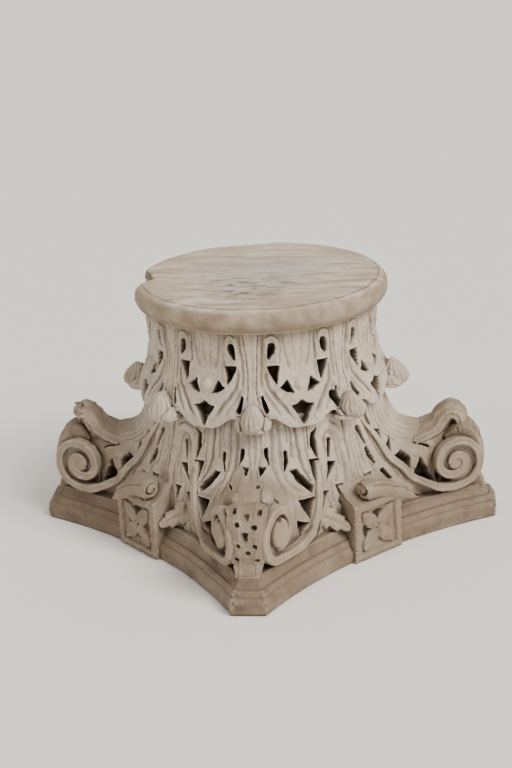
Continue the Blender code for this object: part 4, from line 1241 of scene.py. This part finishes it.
PALE = (0.61, 0.515, 0.408)
COOL = (0.54, 0.472, 0.388)
WARM = (0.32, 0.245, 0.168)
DUSTY = (0.245, 0.182, 0.122)
BROWN = (0.165, 0.115, 0.072)
SHADE_AND_GRIME = (0.12, 0.082, 0.05)
CREVICE = (0.11, 0.075, 0.046)
SOOT = (0.085, 0.058, 0.038)
DARK = (0.05, 0.033, 0.02)
FRESH = (0.66, 0.61, 0.55)
WORN = (0.62, 0.545, 0.45)
SPECK = (0.2, 0.15, 0.105)
EDGE_PALE = (0.405, 0.316, 0.228)
EDGE_BROWN = (0.252, 0.184, 0.122)
STREAK_PALE = (0.66, 0.565, 0.46)
STREAK_BROWN = (0.385, 0.285, 0.198)
TOP_WARM = (0.48, 0.372, 0.262)
TOP_RING = (0.42, 0.318, 0.222)
TOP_MIDDLE = (0.48, 0.43, 0.37)
TOP_MARKS = (0.1, 0.078, 0.056)
MIDDLE_PLACE = (0.0, 0.01, TOP_Z)
MARKS_PLACE = (-0.012, -0.06, TOP_Z)


def body_colour(s):
    """Pale stone that gets browner outwards and downwards, with painted shadow just under the astragal, and
    brown where a piece is stained.
    """
    colour = s.mix(s.spread(s.broad, 0.4, 0.62), PALE, COOL)
    colour = s.mix(s.spread(s.patchy, 0.48, 0.72, 0.0, 0.55), colour, WARM)
    colour = s.mix(s.spread(s.fine, 0.46, 0.66, 0.0, 0.3), colour, WARM)
    outer = s.times(s.spread(s.reach, 0.172, 0.222), s.spread(s.patchy, 0.32, 0.6, 0.5, 0.95))
    colour = s.mix(outer, colour, DUSTY)
    # Painted shadow under the astragal: warmer and darker just below the disc.
    colour = s.mix(s.times(s.spread(s.z, 0.292, 0.316), 0.55), colour, WARM)
    low = s.times(s.spread(s.z, 0.21, 0.06), 0.72)
    colour = s.mix(s.times(low, s.spread(s.patchy, 0.3, 0.62, 0.45, 1.0)), colour, WARM)
    stained = s.attribute("stain")
    colour = s.mix(s.times(stained, s.spread(s.broad, 0.3, 0.65, 0.5, 0.9)), colour, BROWN)
    colour = s.mix(s.times(stained, s.spread(s.patchy, 0.5, 0.7, 0.0, 0.55)), colour, SOOT)
    settled = s.times(s.spread(s.up, 0.4, 0.95, 0.0, 0.36), s.spread(s.reach, 0.172, 0.212))
    return s.mix(settled, colour, BROWN)


def astragal_colour(s):
    """Streaked, worn top with dark marks and a painted shadow line near its edge, and the browner round edge.
    """
    streaks = {"Vector": s.place, "Scale": (0.55, 2.4, 1.0), "Rotation": (0.0, 0.0, radians(4))}
    stretched = s.node("ShaderNodeMapping", streaks).outputs["Vector"]
    streak = s.noise(stretched, 22.0, 9.0, 0.78)
    streak_fine = s.noise(stretched, 75.0, 6.0, 0.7)
    edge = s.mix(s.spread(s.patchy, 0.32, 0.68), EDGE_PALE, EDGE_BROWN)
    top = s.mix(s.spread(streak, 0.41, 0.57), STREAK_BROWN, STREAK_PALE)
    top = s.mix(s.spread(s.broad, 0.46, 0.66, 0.0, 0.55), top, TOP_WARM)
    ring = s.times(s.spread(s.reach, 0.11, 0.156), s.spread(s.broad, 0.38, 0.62, 0.1, 0.5))
    top = s.mix(ring, top, TOP_RING)
    middle = s.spread(s.distance(s.place, MIDDLE_PLACE), 0.115, 0.045)
    top = s.mix(s.times(middle, s.spread(streak, 0.35, 0.62, 0.25, 0.95)), top, TOP_MIDDLE)
    near = s.spread(s.distance(s.place, MARKS_PLACE), 0.085, 0.02, 0.16, 1.0)
    top = s.mix(s.times(s.spread(streak_fine, 0.49, 0.59, 0.0, 0.9), near), top, TOP_MARKS)
    cap = s.mix(s.spread(s.up, 0.55, 0.92), edge, top)
    # Painted shadow line where the flat top meets the round edge.
    line = s.times(s.spread(s.reach, 0.1586, 0.1606), s.spread(s.reach, 0.164, 0.1612))
    return s.mix(s.times(line, s.spread(s.patchy, 0.34, 0.56, 0.1, 0.75)), cap, SHADE_AND_GRIME)


def marble_material():
    """Marble by place, height and carving: body, astragal, painted shade and grime in what is deep, wear on
    what stands out.
    """
    s = Shading("worn_marble")
    s.place = s.node("ShaderNodeTexCoord", {}).outputs["Object"]
    geometry = s.node("ShaderNodeNewGeometry", {})
    s.z = s.upward(s.place)
    s.up = s.upward(geometry.outputs["Normal"])
    flat = s.node("ShaderNodeVectorMath", {0: s.place, 1: (1.0, 1.0, 0.0)}, operation="MULTIPLY")
    s.reach = s.node("ShaderNodeVectorMath", {0: flat.outputs[0]}, operation="LENGTH").outputs["Value"]
    s.broad = s.noise(s.place, 9.0, 4.0, 0.55)
    s.patchy = s.noise(s.place, 34.0, 5.0, 0.62)
    s.fine = s.noise(s.place, 160.0, 4.0, 0.6)
    grit = s.noise(s.place, 620.0, 2.0, 0.5)

    disc = s.spread(s.z, 0.318, 0.324)
    colour = s.mix(disc, body_colour(s), astragal_colour(s))
    # Painted shade on the lower half of the disc's round edge.
    under = s.times(s.spread(s.z, 0.334, 0.32), disc)
    colour = s.mix(s.times(under, 0.55), colour, BROWN)
    # Painted shade: darker in crevices and hollows, where the ambient occlusion finds the surface hemmed in.
    cavity = s.node("ShaderNodeAmbientOcclusion", {"Distance": 0.016}, samples=8, only_local=False)
    colour = s.mix(s.times(s.spread(cavity.outputs["AO"], 0.80, 0.28), 0.85), colour, CREVICE)
    # Painted shade in grooves, holes, channels and under the hem, and grime on old breaks; fresh breaks
    # lighter.
    shade_and_dirt = s.attribute("shade_and_dirt")
    colour = s.mix(s.spread(shade_and_dirt, 0.04, 0.46, 0.0, 0.9), colour, SHADE_AND_GRIME)
    colour = s.mix(s.spread(shade_and_dirt, 0.5, 0.95), colour, DARK)
    colour = s.mix(s.spread(shade_and_dirt, -0.1, -1.0), colour, FRESH)
    colour = s.mix(s.spread(geometry.outputs["Pointiness"], 0.515, 0.60, 0.0, 0.55), colour, WORN)
    colour = s.mix(s.spread(grit, 0.56, 0.7, 0.0, 0.38), colour, SPECK)
    s.put(colour, s.shader.inputs["Base Color"])

    s.put(s.spread(s.fine, 0.30, 0.70, 0.52, 0.74), s.shader.inputs["Roughness"])
    s.shader.inputs["Specular IOR Level"].default_value = 0.35
    grain = s.node("ShaderNodeMath", {0: s.fine, 1: s.times(grit, 0.5)}, operation="ADD").outputs[0]
    fine_relief = s.relief(grain, 0.8, 0.0009)
    broad_relief = s.relief(s.patchy, 0.5, 0.003)
    s.put(fine_relief.outputs["Normal"], broad_relief.inputs["Normal"])
    s.put(broad_relief.outputs["Normal"], s.shader.inputs["Normal"])
    return s.material


# Setting

FLOOR_COLOUR = (0.86, 0.815, 0.76)
FLOOR_ROUGHNESS = 0.75
FLOOR_DROP = 0.0005
FLOOR_FLAT = 20.0
FLOOR_RUN = 25.0
FLOOR_RISE = 5.0
ROOM_COLOUR = (0.84, 0.83, 0.82, 1.0)
ROOM_STRENGTH = 0.41

# Lights: name, place, spread in degrees, strength and colour

LIGHTS = (
    ("key", (2.2, -1.35, 2.5), 30, 3.5, (1.0, 0.98, 0.95)),
    ("top", (-0.3, -0.4, 3.0), 90, 1.35, (1.0, 0.99, 0.97)),
)


def make_floor():
    """Pale floor, flat round the piece, that rises in one long curve far away from it."""
    s = Shading("pale_floor")
    s.put(FLOOR_COLOUR, s.shader.inputs["Base Color"])
    s.put(FLOOR_ROUGHNESS, s.shader.inputs["Roughness"])
    cols = 96
    profile = [(1.0, 0.0), (6.0, 0.0), (FLOOR_FLAT, 0.0)]
    for t in np.linspace(0.1, pi / 2, 15):
        profile.append((FLOOR_FLAT + FLOOR_RUN * sin(t), FLOOR_RISE * (1 - cos(t))))
    rings = [polar(np.full(cols, reach), around(cols), height - FLOOR_DROP) for reach, height in profile]
    faces = [face[::-1] for face in grid_faces(len(rings), cols, True)]
    faces.append(list(range(cols)))
    floor = add_object("floor", new_mesh("floor", np.concatenate(rings), faces, s.material))


def make_lights():
    """Even light from all round, and lights that fall from their places towards the origin."""
    world = bpy.data.worlds.new("studio")
    bpy.context.scene.world = world
    world.use_nodes = True
    background = world.node_tree.nodes["Background"]
    background.inputs["Color"].default_value = ROOM_COLOUR
    background.inputs["Strength"].default_value = ROOM_STRENGTH
    for name, place, spread, strength, colour in LIGHTS:
        data = bpy.data.lights.new(name, "SUN")
        data.angle = radians(spread)
        data.energy = strength
        data.color = colour
        light = add_object(name, data)
        light.location = place
        light.rotation_euler = (-Vector(place)).to_track_quat("-Z", "Y").to_euler()


def make_camera():
    """Camera at its fitted place, turned by azimuth, elevation and roll."""
    data = bpy.data.cameras.new("camera")
    data.sensor_fit = "VERTICAL"
    data.sensor_height = SENSOR
    data.lens = SENSOR * FOCAL_PIXELS / IMAGE_HEIGHT
    data.clip_start = 0.05
    camera = add_object("camera", data)
    back = Vector((
        sin(CAMERA_AZIMUTH) * cos(CAMERA_ELEVATION),
        -cos(CAMERA_AZIMUTH) * cos(CAMERA_ELEVATION),
        sin(CAMERA_ELEVATION),
    ))
    right = (-back).cross(Vector((0, 0, 1))).normalized()
    up = right.cross(-back)
    across = right * cos(CAMERA_ROLL) + up * sin(CAMERA_ROLL)
    upright = up * cos(CAMERA_ROLL) - right * sin(CAMERA_ROLL)
    turn = Matrix((across, upright, back)).transposed()
    camera.matrix_world = Matrix.Translation(Vector(CAMERA_PLACE)) @ turn.to_4x4()
    bpy.context.scene.camera = camera


PIECES = []
MARBLE = marble_material()
make_camera()
make_lights()
make_floor()
make_abacus()
make_astragal()
for index in range(4):
    make_lower(index)
    make_upper(index)
    if HOOK_LEFT[index]:
        make_hook(index)
    make_drum(index)
    make_spine(index)
    make_block(index)
    make_scroll(index)
    make_block_lobe(index)
    for way_round in (-1, 1):
        make_volute(index, way_round)
        make_eye(index, way_round)
for index in range(8):
    make_tip(index)
for skin in PIECES:
    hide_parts("capital")
